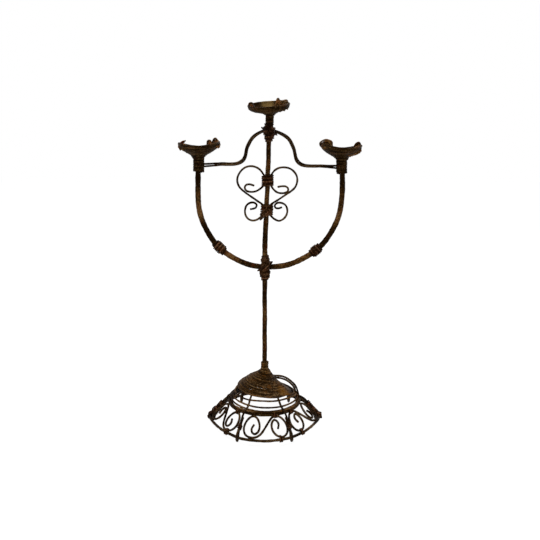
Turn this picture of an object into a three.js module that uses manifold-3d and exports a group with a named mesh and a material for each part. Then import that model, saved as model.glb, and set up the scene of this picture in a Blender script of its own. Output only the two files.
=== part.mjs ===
// Three-light candle stand of iron rod and wire, lashed together with binding wire.
// Millimetres, +Z up. The viewer's side is -Y. The origin is on the table, under the middle of the stand.
import * as THREE from 'three';
import { mergeVertices } from 'three/addons/utils/BufferGeometryUtils.js';
import Module from 'manifold-3d';

const wasm = await Module();
wasm.setup();

// ---------------------------------------------------------------- driving dimensions: stock
const clearance = 0.3; // air left between pieces that bear on each other
const stemDiameter = 6.35; // quarter inch rod
const hoopDiameter = 7.94; // five sixteenths rod
const bracketWire = 2.4;
const scrollWire = 2.05; // twelve gauge: scrolls, cups and base coil
const bindingWire = 1.83; // lashings and ties
const legWire = 2.5;
const ringWire = 3.3; // upper ring and foot ring
const windingAir = 0.55; // air between neighbouring turns of a tight winding

// ---------------------------------------------------------------- driving dimensions: stem and hoop
const stemFootX = -7.7; // the stem stands left of the middle
const stemLean = 8.2; // sideways lean of the stem between the hub and its top
const stemBottom = 62;
const stemTop = 487;
const stemBend = 34; // length over which the stem bends at the hub
const hubHeight = 243.7;
const hoopCentreX = 1.1;
const hoopRadius = 114.3;
const armTopLeft = 419.5;
const armTopRight = 416.5;

// ---------------------------------------------------------------- driving dimensions: base
const footRingRadius = 87.6;
const footRingHeight = 10;
const upperRingRadius = 57.6;
const upperRingHeight = 34.3;
const collarTop = 94.5;
const collarLength = 11;
const collarTurns = 4;
const coneRadius = 42.5; // the edge of the cone's close turns
const coneBottom = 54.5;
const coneTurns = 14;
const coneSlant = 3; // how much higher the cone's turns lie on the left than in the middle
const looseRadius = 54.8; // the edge of the coil's loose turns
const looseBottom = 42;
const looseTurns = 4;
const legCount = 6;
const footRadius = 82.3; // where a foot meets the table
const footFlat = 0.5; // depth of the worn flat under each foot

// -------------------------------------------------------- driving dimensions: bracket, hearts and cups
const bracketLevel = 407; // the bracket's level stretches
const bracketDrop = 3; // how much lower it enters the right neck
const bracketSplit = 5.8; // distance of its two wires where they enter the necks
const bracketPeak = 460.5; // the arch where it crosses the stem
const heartUpper = 382; // middle of the upper heart binding
const heartSpan = 49; // from there down to the middle of the lower one
const heartReach = 46; // how far the hearts' lobes reach out from the stem
const cupRadius = 35;
const cupHeight = 19;
const cupSaddle = 8; // how much higher a side cup's rim is at its two ends
const cupTurns = 7;
const topCupRadius = 33;
const topCupHeight = 15;
const topCupTilt = 10; // degrees towards the viewer
const topCupRoll = 4.5; // degrees down to the left
const loopLean = 8; // how far the side cups' end loops lean in
const loopRise = 15; // how high the inner loops stand above the rim
const leftLoopRise = 10;
const rightLoopRise = 12;
const topLoopLean = 4;
const topLoopRise = 10;

const stemRadius = stemDiameter / 2;
const hoopRodRadius = hoopDiameter / 2;
const hoopPlane = stemRadius + clearance + hoopRodRadius; // the hoop passes behind the stem
const bracketPlane = stemRadius + clearance + bracketWire / 2; // so does the bracket
const hoopCentreZ = hubHeight + hoopRadius;
const turnPitch = bindingWire + windingAir;
const fullTurn = 2 * Math.PI;
const diagonal = Math.SQRT1_2;

const iron = new THREE.MeshStandardMaterial({ color: 0x4a3f35, roughness: 0.7, metalness: 0.8 });
const wireIron = new THREE.MeshStandardMaterial({ color: 0x54463a, roughness: 0.72, metalness: 0.75 });
const bindingIron = new THREE.MeshStandardMaterial({ color: 0x3a3029, roughness: 0.75, metalness: 0.75 });

const stand = new THREE.Group();
const at = (x, y, z) => new THREE.Vector3(x, y, z);

function add(name, geometry, material) {
  const mesh = new THREE.Mesh(geometry, material);
  mesh.name = name;
  stand.add(mesh);
  return mesh;
}

// The stem's centre at a height: upright below the hub, leaning to the right above it.
function stemX(z) {
  const above = z - hubHeight;
  const slope = stemLean / (stemTop - hubHeight);
  return stemFootX + slope * 0.5 * (above + Math.hypot(above, stemBend));
}

// ---------------------------------------------------------------- shapes
function section(diameter, sides) {
  const corners = [];
  for (let i = 0; i < sides; i += 1) {
    const angle = (fullTurn * (i + 0.5)) / sides;
    corners.push(new THREE.Vector2(Math.cos(angle), Math.sin(angle)).multiplyScalar(diameter / 2));
  }
  return new THREE.Shape(corners);
}

// A bar of round stock along a smooth curve through the points.
function bar(points, diameter, sides, steps) {
  const path = new THREE.CatmullRomCurve3(points, false, 'centripetal');
  path.arcLengthDivisions = 12 * points.length;
  const options = { steps, extrudePath: path, bevelEnabled: false };
  return new THREE.ExtrudeGeometry(section(diameter, sides), options);
}

// A tube that joins the points as they are, used for everything that is wound.
function windingTube(points, diameter, sides) {
  const last = points.length - 1;
  const tangents = points.map((point, i) =>
    points[Math.min(i + 1, last)].clone().sub(points[Math.max(i - 1, 0)]).normalize());
  const start = Math.abs(tangents[0].z) < 0.9 ? at(0, 0, 1) : at(1, 0, 0);
  const normal = start.cross(tangents[0]).normalize();
  const vertices = [];
  const faces = [];
  for (let i = 0; i <= last; i += 1) {
    if (i > 0) {
      normal.applyQuaternion(new THREE.Quaternion().setFromUnitVectors(tangents[i - 1], tangents[i]));
    }
    const side = tangents[i].clone().cross(normal);
    for (let s = 0; s < sides; s += 1) {
      const angle = (fullTurn * s) / sides;
      const corner = points[i].clone();
      corner.addScaledVector(normal, (Math.cos(angle) * diameter) / 2);
      corner.addScaledVector(side, (Math.sin(angle) * diameter) / 2);
      vertices.push(corner.x, corner.y, corner.z);
    }
  }
  for (let i = 0; i < last; i += 1) {
    for (let s = 0; s < sides; s += 1) {
      const a = i * sides + s;
      const b = i * sides + ((s + 1) % sides);
      faces.push(a, b, a + sides, b, b + sides, a + sides);
    }
  }
  for (let s = 1; s < sides - 1; s += 1) {
    faces.push(0, s + 1, s);
    faces.push(last * sides, last * sides + s, last * sides + s + 1);
  }
  const geometry = new THREE.BufferGeometry();
  geometry.setAttribute('position', new THREE.Float32BufferAttribute(vertices, 3));
  geometry.setIndex(faces);
  return geometry;
}

// A place one diameter past the end of a wound wire, straight on and turned as its last bits turn.
function straightEnd(before, previous, end, diameter) {
  const direction = end.clone().sub(previous).normalize();
  const earlier = previous.clone().sub(before).normalize();
  return end.clone().add(direction.multiplyScalar(2).sub(earlier).setLength(diameter));
}

// Both ends of a wound wire run on straight for one diameter.
function withStraightEnds(points, diameter) {
  const first = straightEnd(points[2], points[1], points[0], diameter);
  const end = straightEnd(points.at(-3), points.at(-2), points.at(-1), diameter);
  return [first, ...points, end];
}

// The least air between parts of a winding that are more than two and a half diameters apart along the wire.
function leastGap(points, diameter) {
  const along = [0];
  for (let i = 1; i < points.length; i += 1) {
    along.push(along[i - 1] + points[i].distanceTo(points[i - 1]));
  }
  const segment = new THREE.Line3();
  const nearest = at(0, 0, 0);
  let least = Infinity;
  for (let i = 0; i < points.length; i += 1) {
    for (let j = 1; j < points.length; j += 1) {
      if (Math.min(Math.abs(along[i] - along[j]), Math.abs(along[i] - along[j - 1])) > 2.5 * diameter) {
        segment.set(points[j - 1], points[j]).closestPointToPoint(points[i], true, nearest);
        least = Math.min(least, nearest.distanceTo(points[i]));
      }
    }
  }
  return least - diameter;
}

function addWinding(name, points, diameter, sides, material) {
  console.log(`${name}: least gap to itself ${leastGap(points, diameter).toFixed(2)} mm`);
  return add(name, windingTube(points, diameter, sides), material);
}

// Where the middle of a taut wire lies round some rods, seen along the winding's axis, in the direction of an
// angle. Each rod is a circle of the given radius at (u, v), or longer along u where the winding slants over it.
// off is the distance from a rod's face to the middle of the wire, and steps is how many straight bits make a turn.
function tautPoint(rods, off, angle, steps, slant = 1) {
  const c = Math.cos(angle);
  const s = Math.sin(angle);
  const swell = 1 / Math.cos(Math.PI / (steps * slant));
  let best = -Infinity;
  let point = null;
  for (const rod of rods) {
    const a = ((rod.radius + off) * swell) / slant;
    const b = (rod.radius + off) * swell;
    const reach = Math.hypot(a * c, b * s);
    const support = rod.u * c + rod.v * s + reach;
    if (support > best) {
      best = support;
      point = [rod.u + (a * a * c) / reach, rod.v + (b * b * s) / reach];
    }
  }
  return point;
}

// A lashing: turns of wire round rods, advancing along the axis. rodsAt(w) gives the rods where the wire is
// at w.
function lashing({ origin, u, v, w, rodsAt, turns, pitch, steps, startAngle, off, slant = 1 }) {
  const points = [];
  const count = Math.round(turns * steps);
  for (let i = 0; i <= count; i += 1) {
    const turn = i / steps - turns / 2;
    const [pu, pv] = tautPoint(rodsAt(turn * pitch), off, startAngle + turn * fullTurn, steps, slant);
    const point = origin.clone().addScaledVector(u, pu).addScaledVector(v, pv);
    points.push(point.addScaledVector(w, turn * pitch));
  }
  return withStraightEnds(points, bindingWire);
}

const round = (u, v, radius) => ({ u, v, radius });
const bindingSeat = clearance + bindingWire / 2; // from a rod's face to the middle of a binding wire
const bindingLayer = bindingWire + windingAir; // from one layer of binding to the next
const axisX = at(1, 0, 0);
const axisY = at(0, 1, 0);
const axisZ = at(0, 0, 1);

// Cuts off what reaches below the table.
async function trimAtTable(geometry) {
  const toSolid = (source) => {
    const bare = source.clone();
    bare.deleteAttribute('normal');
    bare.deleteAttribute('uv');
    const merged = mergeVertices(bare, 1e-4);
    return new wasm.Manifold(new wasm.Mesh({
      numProp: 3,
      vertProperties: new Float32Array(merged.getAttribute('position').array),
      triVerts: new Uint32Array(merged.index.array),
    }));
  };
  const ground = new THREE.BoxGeometry(20, 20, 10);
  geometry.computeBoundingBox();
  const middle = geometry.boundingBox.getCenter(at(0, 0, 0));
  const size = geometry.boundingBox.getSize(at(0, 0, 0));
  ground.scale(size.x / 10, size.y / 10, 1);
  ground.translate(middle.x, middle.y, -5);
  const cut = toSolid(geometry).subtract(toSolid(ground)).getMesh();
  const result = new THREE.BufferGeometry();
  result.setAttribute('position', new THREE.Float32BufferAttribute(cut.vertProperties, 3));
  result.setIndex(new THREE.BufferAttribute(new Uint32Array(cut.triVerts), 1));
  return result;
}

// ---------------------------------------------------------------- stem and arm hoop
function addStem() {
  const points = [];
  const knots = 12;
  for (let i = 0; i <= knots; i += 1) {
    const z = stemBottom + ((stemTop - stemBottom) * i) / knots;
    points.push(at(stemX(z), 0, z));
  }
  add('stem', bar(points, stemDiameter, 8, 16), iron);
}

function addHoop() {
  const points = [];
  points.push(at(hoopCentreX - hoopRadius, hoopPlane, armTopLeft));
  points.push(at(hoopCentreX - hoopRadius, hoopPlane, hoopCentreZ + 20));
  const knots = 16;
  for (let i = 0; i <= knots; i += 1) {
    const angle = Math.PI + (Math.PI * i) / knots;
    const x = hoopCentreX + hoopRadius * Math.cos(angle);
    points.push(at(x, hoopPlane, hoopCentreZ + hoopRadius * Math.sin(angle)));
  }
  points.push(at(hoopCentreX + hoopRadius, hoopPlane, hoopCentreZ + 20));
  points.push(at(hoopCentreX + hoopRadius, hoopPlane, armTopRight));
  add('arm_hoop', bar(points, hoopDiameter, 8, 32), iron);
}

// ---------------------------------------------------------------- bracket
// Two wires side by side, one above the other, that run from neck to neck and arch over behind the stem.
// Their ends turn along the arm ends, one up and one down, and lie under the neck windings.
const tailOut = hoopRodRadius + clearance + bracketWire / 2;
const tailBack = bracketPlane - hoopPlane;
const tailX = Math.sqrt(tailOut * tailOut - tailBack * tailBack);
const tailBend = 2.6;
const tailLength = 9;

function addBracketWire(name, upper) {
  const sign = upper ? 1 : -1;
  const half = (bracketWire + clearance) / 2;
  const offset = sign * half;
  const leftTail = hoopCentreX - hoopRadius + tailX;
  const rightTail = hoopCentreX + hoopRadius - tailX;
  const level = bracketLevel + sign * (bracketSplit / 2);
  const peakX = stemX(bracketPeak);
  const leftCorner = -41.5;
  const rightCorner = 43.5;
  const route = [
    [leftTail, level + sign * tailLength],
    [leftTail, level + sign * tailBend],
    [leftTail + 0.3 * tailBend, level + sign * 0.3 * tailBend],
    [leftTail + tailBend, level],
    [leftTail + 26, bracketLevel + 3.2 + offset],
    [leftCorner - 9 - offset, bracketLevel + 3.2 + offset],
    [leftCorner - offset, bracketLevel + 9 + offset],
    [leftCorner + 5.5 - offset, bracketLevel + 29 + offset * 0.6],
    [leftCorner + 15 - offset * 0.7, bracketLevel + 44 + offset],
    [peakX - 10, bracketPeak - 0.3 + offset],
    [peakX - 4, bracketPeak + offset],
    [peakX + 4, bracketPeak + offset],
    [peakX + 10, bracketPeak - 0.3 + offset],
    [rightCorner - 13 + offset * 0.7, bracketLevel + 42 + offset],
    [rightCorner - 4 + offset, bracketLevel + 26 + offset * 0.6],
    [rightCorner + 1 + offset, bracketLevel + 7 + offset],
    [rightCorner + 9 + offset, bracketLevel - 0.5 + offset],
    [rightTail - 26, bracketLevel - 2 + offset],
    [rightTail - tailBend, level - bracketDrop],
    [rightTail - 0.3 * tailBend, level - bracketDrop + sign * 0.3 * tailBend],
    [rightTail, level - bracketDrop + sign * tailBend],
    [rightTail, level - bracketDrop + sign * tailLength],
  ];
  add(name, bar(route.map(([x, z]) => at(x, bracketPlane, z)), bracketWire, 5, 44), wireIron);
}

// ---------------------------------------------------------------- cups
function mix(a, b, t) {
  return a + (b - a) * t;
}

// A place at a share of the length of a profile of [radius, height] corners.
function alongProfile(profile, share) {
  const lengths = [0];
  for (let i = 1; i < profile.length; i += 1) {
    const run = Math.hypot(profile[i][0] - profile[i - 1][0], profile[i][1] - profile[i - 1][1]);
    lengths.push(lengths[i - 1] + run);
  }
  const wanted = share * lengths.at(-1);
  let i = 1;
  while (i < profile.length - 1 && lengths[i] < wanted) {
    i += 1;
  }
  const part = (wanted - lengths[i - 1]) / (lengths[i] - lengths[i - 1]);
  return [mix(profile[i - 1][0], profile[i][0], part), mix(profile[i - 1][1], profile[i][1], part)];
}

const neckSteps = 8;
const bowlSteps = 12;

// Leans a place in a bowl over, about the top of its neck.
function leanBowl(cup, point, settle) {
  point.applyAxisAngle(axisX, THREE.MathUtils.degToRad(cup.tilt) * settle);
  point.applyAxisAngle(axisY, THREE.MathUtils.degToRad(-cup.roll) * settle);
  point.x += cup.shift * settle;
  return point;
}

// The middle of a cup's wire: turns close round the neck, then turns that widen along the bowl's profile.
function cupPoint(cup, turn) {
  const angle = cup.startAngle + turn * fullTurn;
  const rods = [round(0, 0, cup.rodRadius), ...cup.tails];
  const [u, v] = tautPoint(rods, bindingSeat, angle, neckSteps);
  const neckTurns = cup.neck.length - 1;
  if (turn < neckTurns) {
    const i = Math.floor(turn);
    const height = mix(cup.neck[i], cup.neck[i + 1], turn - i);
    return at(cup.axisAt(height) + u, v, height);
  }
  const share = (turn - neckTurns) / cup.turns;
  const [bowlRadius, height] = alongProfile(cup.profile, share);
  const radius = Math.max(Math.hypot(u, v), bowlRadius);
  const settle = Math.min(share * 3, 1);
  const aside = Math.atan2(v, u) - angle;
  const direction = angle + Math.atan2(Math.sin(aside), Math.cos(aside)) * (1 - settle);
  const rise = height + cup.saddle * share ** 3 * Math.cos(direction) ** 2;
  return leanBowl(cup, at(radius * Math.cos(direction), radius * Math.sin(direction), rise), settle);
}

function addCup(name, cup) {
  const points = [];
  const neckTurns = cup.neck.length - 1;
  for (let i = 0; i < neckTurns * neckSteps; i += 1) {
    points.push(cupPoint(cup, i / neckSteps));
  }
  for (let i = 0; i <= cup.turns * bowlSteps; i += 1) {
    points.push(cupPoint(cup, neckTurns + i / bowlSteps));
  }
  const rim = points.at(-1);
  const inward = at(-rim.x, -rim.y, 0).normalize();
  points.push(rim.clone().addScaledVector(inward, 1.2).add(at(0, 0, 3)));
  points.push(rim.clone().addScaledVector(inward, 3).add(at(0, 0, cup.prong)));
  const placed = points.map((point) => point.clone().add(cup.seat));
  addWinding(name, withStraightEnds(placed, bindingWire), bindingWire, 4, wireIron);
}

// The radius and height of the wire in a bowl's last turn at an angle, before the bowl leans.
function rimAt(cup, angle) {
  const place = (cup.turns - partTurn(angle, prongAngle)) * bowlSteps;
  const corner = (i) => {
    const share = i / bowlSteps / cup.turns;
    const turned = cup.startAngle + (fullTurn * i) / bowlSteps;
    const [radius, height] = alongProfile(cup.profile, share);
    const rise = height + cup.saddle * share ** 3 * Math.cos(turned) ** 2;
    return at(radius * Math.cos(turned), radius * Math.sin(turned), rise);
  };
  const low = Math.floor(place);
  const point = corner(low).lerp(corner(low + 1), place - low);
  return [Math.hypot(point.x, point.y), point.z];
}

// A loop of wire that stands inside the rim at one end of a cup, rises above it and leans inwards.
function addEndLoop(name, cup, middle, spread, rise, lean) {
  const points = [];
  const steps = 12;
  const inside = (bindingWire + scrollWire) / 2 + 1.5 * clearance;
  const start = rimAt(cup, middle - spread);
  const end = rimAt(cup, middle + spread);
  for (let i = 0; i <= steps; i += 1) {
    const t = i / steps;
    const swell = Math.sin(Math.PI * t);
    const angle = middle + spread * (2 * t - 1);
    const radius = mix(start[0], end[0], t) - inside - lean * swell * swell;
    const height = mix(start[1], end[1], t) + rise * swell;
    const point = at(radius * Math.cos(angle), radius * Math.sin(angle), height);
    points.push(leanBowl(cup, point, 1).add(cup.seat));
  }
  add(name, bar(points, scrollWire, 5, 14), wireIron);
}

// The neck's turns keep clear of the bracket wires, which enter between them and turn along the arm end.
function sideNeck(enter, seatHeight) {
  const bracketRoom = bracketSplit / 2 + tailBend + bindingWire / 2 + 0.6;
  const low = enter - bracketRoom;
  const high = enter + bracketRoom;
  const turns = [low - 2 * turnPitch, low - turnPitch, low, enter, high, high + turnPitch];
  return turns.map((z) => z - seatHeight);
}

function widening(neckRadius, neckEnd, corners) {
  return [[neckRadius, neckEnd], ...corners];
}

// The bowls' profiles, in shares of the rim's radius and height.
const sideShares = [[0.355, 0.29], [0.543, 0.453], [0.714, 0.59], [0.843, 0.705], [0.971, 0.842], [1, 1]];
const sideCorners = sideShares.map(([out, up]) => [out * cupRadius, up * cupHeight]);
const topShares = [[0.364, 0.24], [0.606, 0.32], [0.818, 0.413], [0.939, 0.573], [0.988, 0.8], [1, 1]];
const topCorners = topShares.map(([out, up]) => [out * topCupRadius, up * topCupHeight]);
const prongAngle = Math.PI / 3;

// The share of a turn from one angle on to another.
function partTurn(from, to) {
  const turns = (to - from) / fullTurn;
  return turns - Math.floor(turns);
}

function sideCup(side, armTop, enter, shift) {
  const seat = at(hoopCentreX + side * hoopRadius, hoopPlane, armTop - seatDepth);
  const startAngle = Math.atan2(tailBack, -side * (tailX + bindingWire));
  const neck = sideNeck(enter, seat.z);
  return {
    seat,
    rodRadius: hoopRodRadius,
    tails: [round(-side * tailX, tailBack, bracketWire / 2)],
    axisAt: () => 0,
    neck,
    profile: widening(hoopRodRadius + bindingSeat, neck.at(-1), sideCorners),
    turns: cupTurns + partTurn(startAngle, prongAngle),
    saddle: cupSaddle,
    tilt: 0,
    roll: 0,
    shift,
    startAngle,
    prong: 9,
  };
}

const seatDepth = 2; // the rod ends stand this far above the bottom of the bowls
const leftCup = sideCup(-1, armTopLeft, bracketLevel, 0.8);
const rightCup = sideCup(1, armTopRight, bracketLevel - bracketDrop, -2.6);
const topSeat = at(stemX(stemTop - seatDepth), 0, stemTop - seatDepth);
const topNeckTurns = 5;
const topCup = {
  seat: topSeat,
  rodRadius: stemRadius,
  tails: [],
  axisAt: (height) => stemX(topSeat.z + height) - topSeat.x,
  neck: Array.from({ length: topNeckTurns + 1 }, (_, i) => (i - topNeckTurns) * turnPitch),
  profile: widening(stemRadius + bindingSeat, 0, topCorners),
  turns: cupTurns,
  saddle: 0,
  tilt: topCupTilt,
  roll: topCupRoll,
  shift: 0,
  startAngle: prongAngle,
  prong: 6,
};

// ---------------------------------------------------------------- lashings
function addStemWinding(name, middle, turns, startAngle) {
  const origin = at(stemX(middle), 0, middle);
  const lean = at(stemX(middle + 5) - stemX(middle - 5), 0, 10).normalize();
  const points = lashing({
    origin, u: axisX, v: axisY, w: lean, rodsAt: () => [round(0, 0, stemRadius)],
    turns, pitch: turnPitch, steps: 8, startAngle, off: bindingSeat,
  });
  addWinding(name, points, bindingWire, 4, bindingIron);
}

// Slanting turns over a crossing: the stem is upright, the other rods lie level behind it.
function addCrossLashing(name, height, turns, rising, levelRods, off) {
  const sign = rising ? 1 : -1;
  const points = lashing({
    origin: at(stemX(height), 0, height),
    u: at(diagonal, 0, sign * diagonal),
    v: axisY,
    w: at(-sign * diagonal, 0, diagonal),
    rodsAt: (shift) => [
      round(sign * shift, 0, stemRadius),
      ...levelRods.map((rod) => round(sign * (rod.z / diagonal - shift), rod.y, rod.radius)),
    ],
    turns, pitch: turnPitch, steps: 12, startAngle: Math.PI / 2, off, slant: diagonal,
  });
  addWinding(name, points, bindingWire, 4, bindingIron);
}

// ---------------------------------------------------------------- arm wraps
function addArmWrap(name, degrees, turns) {
  const middle = THREE.MathUtils.degToRad(degrees);
  const points = [];
  const steps = 8;
  const count = turns * steps;
  for (let i = 0; i <= count; i += 1) {
    const turn = i / steps - turns / 2;
    const place = middle + (turn * turnPitch) / (hoopRadius - hoopRodRadius);
    const [u, v] = tautPoint([round(0, 0, hoopRodRadius)], bindingSeat, turn * fullTurn, steps);
    const radius = hoopRadius + u;
    const x = hoopCentreX + radius * Math.cos(place);
    points.push(at(x, hoopPlane + v, hoopCentreZ + radius * Math.sin(place)));
  }
  addWinding(name, withStraightEnds(points, bindingWire), bindingWire, 4, bindingIron);
}

// ---------------------------------------------------------------- hearts
// One scroll: a small curl in the lobe, a straight stretch in the upper binding, the lobe, a straight stretch
// in the lower binding, and the bottom curl. Places are out from the stem's centre line and up from the middle
// of a binding, in hundredths of heartReach.
const heartCurl = [
  [47.8, -16.3], [59.8, -12.2], [71.7, -15.2], [75.2, -25], [63, -36.5], [45.7, -37.8], [26.1, -31.7],
];
const heartLobe = [
  [22.8, 35.9], [37, 46.7], [56.5, 50], [78.3, 42.2], [94.6, 21.7], [100, 0], [94.6, -19.6],
  [77.2, -40.4], [53.3, -56.5], [27.2, -73.9],
];
const heartFoot = [
  [20.7, -30.4], [42.4, -34.8], [59.8, -25.7], [68.3, -5.4], [62, 15.2], [46.7, 24.8], [30.4, 20.4],
  [28.3, 9.6], [39.1, 2.2], [51.1, 1.7],
];
const heartLower = heartUpper - heartSpan;
const heartSeat = stemRadius + clearance + scrollWire / 2;
const upperHalf = 8.5; // half of the straight stretch in the upper binding
const lowerHalf = 10.5;

// side is -1 for the left scroll.
function addHeart(name, side, width) {
  const reach = heartReach / 100;
  const placed = (corners, level) => corners.map(([out, up]) => [out * reach * width, level + up * reach]);
  const straight = (level, half) => [half, 0, -half].map((up) => [heartSeat, level + up]);
  const route = [
    ...placed(heartCurl, heartUpper),
    ...straight(heartUpper, upperHalf).reverse(),
    ...placed(heartLobe, heartUpper),
    ...straight(heartLower, lowerHalf),
    ...placed(heartFoot, heartLower),
  ];
  add(name, bar(route.map(([out, z]) => at(stemX(z) + side * out, 0, z)), scrollWire, 4, 66), wireIron);
}

// Turns round the stem and the two scroll wires beside it, level or slanting.
function addHeartBinding(name, middle, turns, slanting) {
  const slant = slanting ? diagonal : 1;
  const rodsAt = (shift) => {
    const centre = slanting ? shift : 0;
    return [round(centre, 0, stemRadius), round(centre - heartSeat / slant, 0, scrollWire / 2),
      round(centre + heartSeat / slant, 0, scrollWire / 2)];
  };
  const points = lashing({
    origin: at(stemX(middle), 0, middle),
    u: slanting ? at(diagonal, 0, diagonal) : axisX,
    v: axisY,
    w: slanting ? at(-diagonal, 0, diagonal) : axisZ,
    rodsAt, turns, pitch: turnPitch + 0.3, steps: 10, startAngle: Math.PI / 2, off: bindingSeat, slant,
  });
  addWinding(name, points, bindingWire, 4, bindingIron);
}

// ---------------------------------------------------------------- base
const baseX = stemFootX;
function onBase(azimuth, radius, z) {
  return at(baseX + radius * Math.sin(azimuth), -radius * Math.cos(azimuth), z);
}

const coilSteps = 12;

// The coil's profile: close round the stem, then out along the cone, then its loose turns.
const collarRadius = tautPoint([round(0, 0, stemRadius)], clearance + scrollWire / 2, 0, coilSteps)[0];
const coneTop = collarTop - collarLength;
const coneProfile = [[collarRadius, coneTop], ...[[0.282, 0.724], [0.659, 0.379], [1, 0]].map(
  ([out, up]) => [out * coneRadius, mix(coneBottom, coneTop, up)])];
const looseProfile = [[0, 0], [0.49, 0.52], [1, 1]].map(
  ([out, down]) => [mix(coneRadius, looseRadius, out), mix(coneBottom, looseBottom, down)]);

function coilPlace(turn) {
  const coneTurn = turn - collarTurns;
  if (coneTurn <= 0) {
    return [collarRadius, mix(collarTop, coneTop, turn / collarTurns)];
  }
  if (coneTurn <= coneTurns) {
    return alongProfile(coneProfile, coneTurn / coneTurns);
  }
  return alongProfile(looseProfile, (coneTurn - coneTurns) / looseTurns);
}

// How far the slant raises the coil: not at its ends, and by all of coneSlant at the left of the lower cone.
function slantAt(turn, azimuth) {
  const coming = THREE.MathUtils.clamp((turn - collarTurns) / 5, 0, 1);
  const going = THREE.MathUtils.clamp((collarTurns + coneTurns + looseTurns - turn) / looseTurns, 0, 1);
  return -coneSlant * coming * going * Math.sin(azimuth);
}

// A place beside the coil, at a distance from the middle of its wire: outside, or inside for a negative one.
function besideCoil(turn, azimuth, apart) {
  const [radius, z] = coilPlace(turn);
  const [nextRadius, nextZ] = coilPlace(turn + 0.1);
  const run = Math.hypot(nextRadius - radius, nextZ - z);
  const up = z + ((nextRadius - radius) / run) * apart;
  return [radius - ((nextZ - z) / run) * apart, up + slantAt(turn, azimuth)];
}

function addBaseCoil() {
  const points = [];
  const total = collarTurns + coneTurns + looseTurns;
  for (let i = 0; i <= total * coilSteps; i += 1) {
    const turn = i / coilSteps;
    const [radius, z] = coilPlace(turn);
    points.push(onBase(turn * fullTurn, radius, z + slantAt(turn, turn * fullTurn)));
  }
  addWinding('base_coil', withStraightEnds(points, scrollWire), scrollWire, 4, wireIron);
}

// Loose strands arch from the top of the cone over its right side to the upper ring. Their places are in shares
// of the cone's radius and of the coil's height below the collar, between a seat on the cone and one on the ring.
function addLooseStrand(name, azimuth, turn, arch) {
  const onRing = [upperRingRadius - 0.5, upperRingHeight + ringWire / 2 + clearance + scrollWire / 2];
  const onCone = besideCoil(turn, azimuth, scrollWire + clearance);
  const places = arch.map(([out, up]) => [out * coneRadius, mix(looseBottom, coneTop, up)]);
  const route = [onCone, ...places, [onRing[0] + 1, onRing[1] + 5], onRing];
  add(name, bar(route.map(([radius, z]) => onBase(azimuth, radius, z)), scrollWire, 5, 16), wireIron);
}

// The upper ring is wound twice, the second turn inside the first. It starts at the back.
const ringStep = ringWire + windingAir;

function ringRadiusAt(azimuth) {
  return upperRingRadius - ringStep * partTurn(Math.PI, azimuth);
}

function addUpperRing() {
  const points = [];
  const steps = 24;
  const turns = 2;
  for (let i = 0; i <= turns * steps; i += 1) {
    const radius = upperRingRadius - (ringStep * i) / steps;
    points.push(onBase(Math.PI + (fullTurn * i) / steps, radius, upperRingHeight));
  }
  addWinding('upper_ring', withStraightEnds(points, ringWire), ringWire, 5, wireIron);
}

function addFootRing() {
  const ring = new THREE.TorusGeometry(footRingRadius, ringWire / 2, 6, 36);
  add('foot_ring', ring, wireIron).position.set(baseX, 0, footRingHeight);
}

// A leg is a hairpin: it lies under the cone, passes over the upper ring, runs down inside the foot ring and
// turns up again at the table, where its short end lies along it and is bound to it.
const overRing = upperRingHeight + ringWire / 2 + clearance + legWire / 2 + 0.9;
const legTop = [63.5, overRing - 3.9];
const legFoot = [footRingRadius - ringWire / 2 - clearance - legWire / 2, footRingHeight];
const legRun = Math.hypot(legFoot[0] - legTop[0], legFoot[1] - legTop[1]);
const legDown = [(legFoot[0] - legTop[0]) / legRun, (legFoot[1] - legTop[1]) / legRun];
const legPair = legWire + clearance; // from one side of the hairpin to the other
const bindingPlace = 0.53; // how far down the leg its binding sits
const underCoil = -(scrollWire + legWire) / 2 - clearance - 0.3; // from the coil's wire in to the leg's

// A place on the leg's straight stretch, or beside it on the inside.
function besideLeg(share, inside) {
  return [
    mix(legTop[0], legFoot[0], share) + legDown[1] * inside,
    mix(legTop[1], legFoot[1], share) - legDown[0] * inside,
  ];
}

async function addLeg(name, azimuth) {
  const route = [
    ...[12.1, 17.4, 19.4].map((turn) => besideCoil(turn, azimuth, underCoil)),
    [looseRadius - 4.5, looseBottom - 0.4 + Math.min(slantAt(20, azimuth), 0)],
    [upperRingRadius + 0.4, overRing],
    legTop, besideLeg(0.35, 0), besideLeg(0.7, 0),
    legFoot, [legFoot[0] + 0.2, 4.6], [footRadius, legWire / 2 - footFlat - 0.35], [footRadius - 2.4, 4.2],
    besideLeg(0.86, 1.7 * legPair), besideLeg(0.7, 1.05 * legPair), besideLeg(0.4, 1.05 * legPair),
  ];
  const points = route.map(([radius, z]) => onBase(azimuth, radius, z));
  const leg = bar(points, legWire, 5, 28);
  leg.computeBoundingBox();
  leg.translate(0, 0, -footFlat - leg.boundingBox.min.z);
  add(name, await trimAtTable(leg), wireIron);
}

function addFootBinding(name, azimuth) {
  const outward = onBase(azimuth, 1, 0).sub(onBase(azimuth, 0, 0));
  const across = axisZ.clone().cross(outward).normalize();
  const down = outward.clone().multiplyScalar(legDown[0]).addScaledVector(axisZ, legDown[1]);
  const points = lashing({
    origin: onBase(azimuth, ...besideLeg(bindingPlace, legPair / 2)),
    u: down.clone().cross(across).normalize(), v: across, w: down,
    rodsAt: () => [round(-legPair / 2, 0, legWire / 2), round(legPair / 2, 0, legWire / 2)],
    turns: 2, pitch: turnPitch, steps: 8, startAngle: 0, off: bindingSeat + 0.25,
  });
  addWinding(name, points, bindingWire, 4, bindingIron);
}

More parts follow.
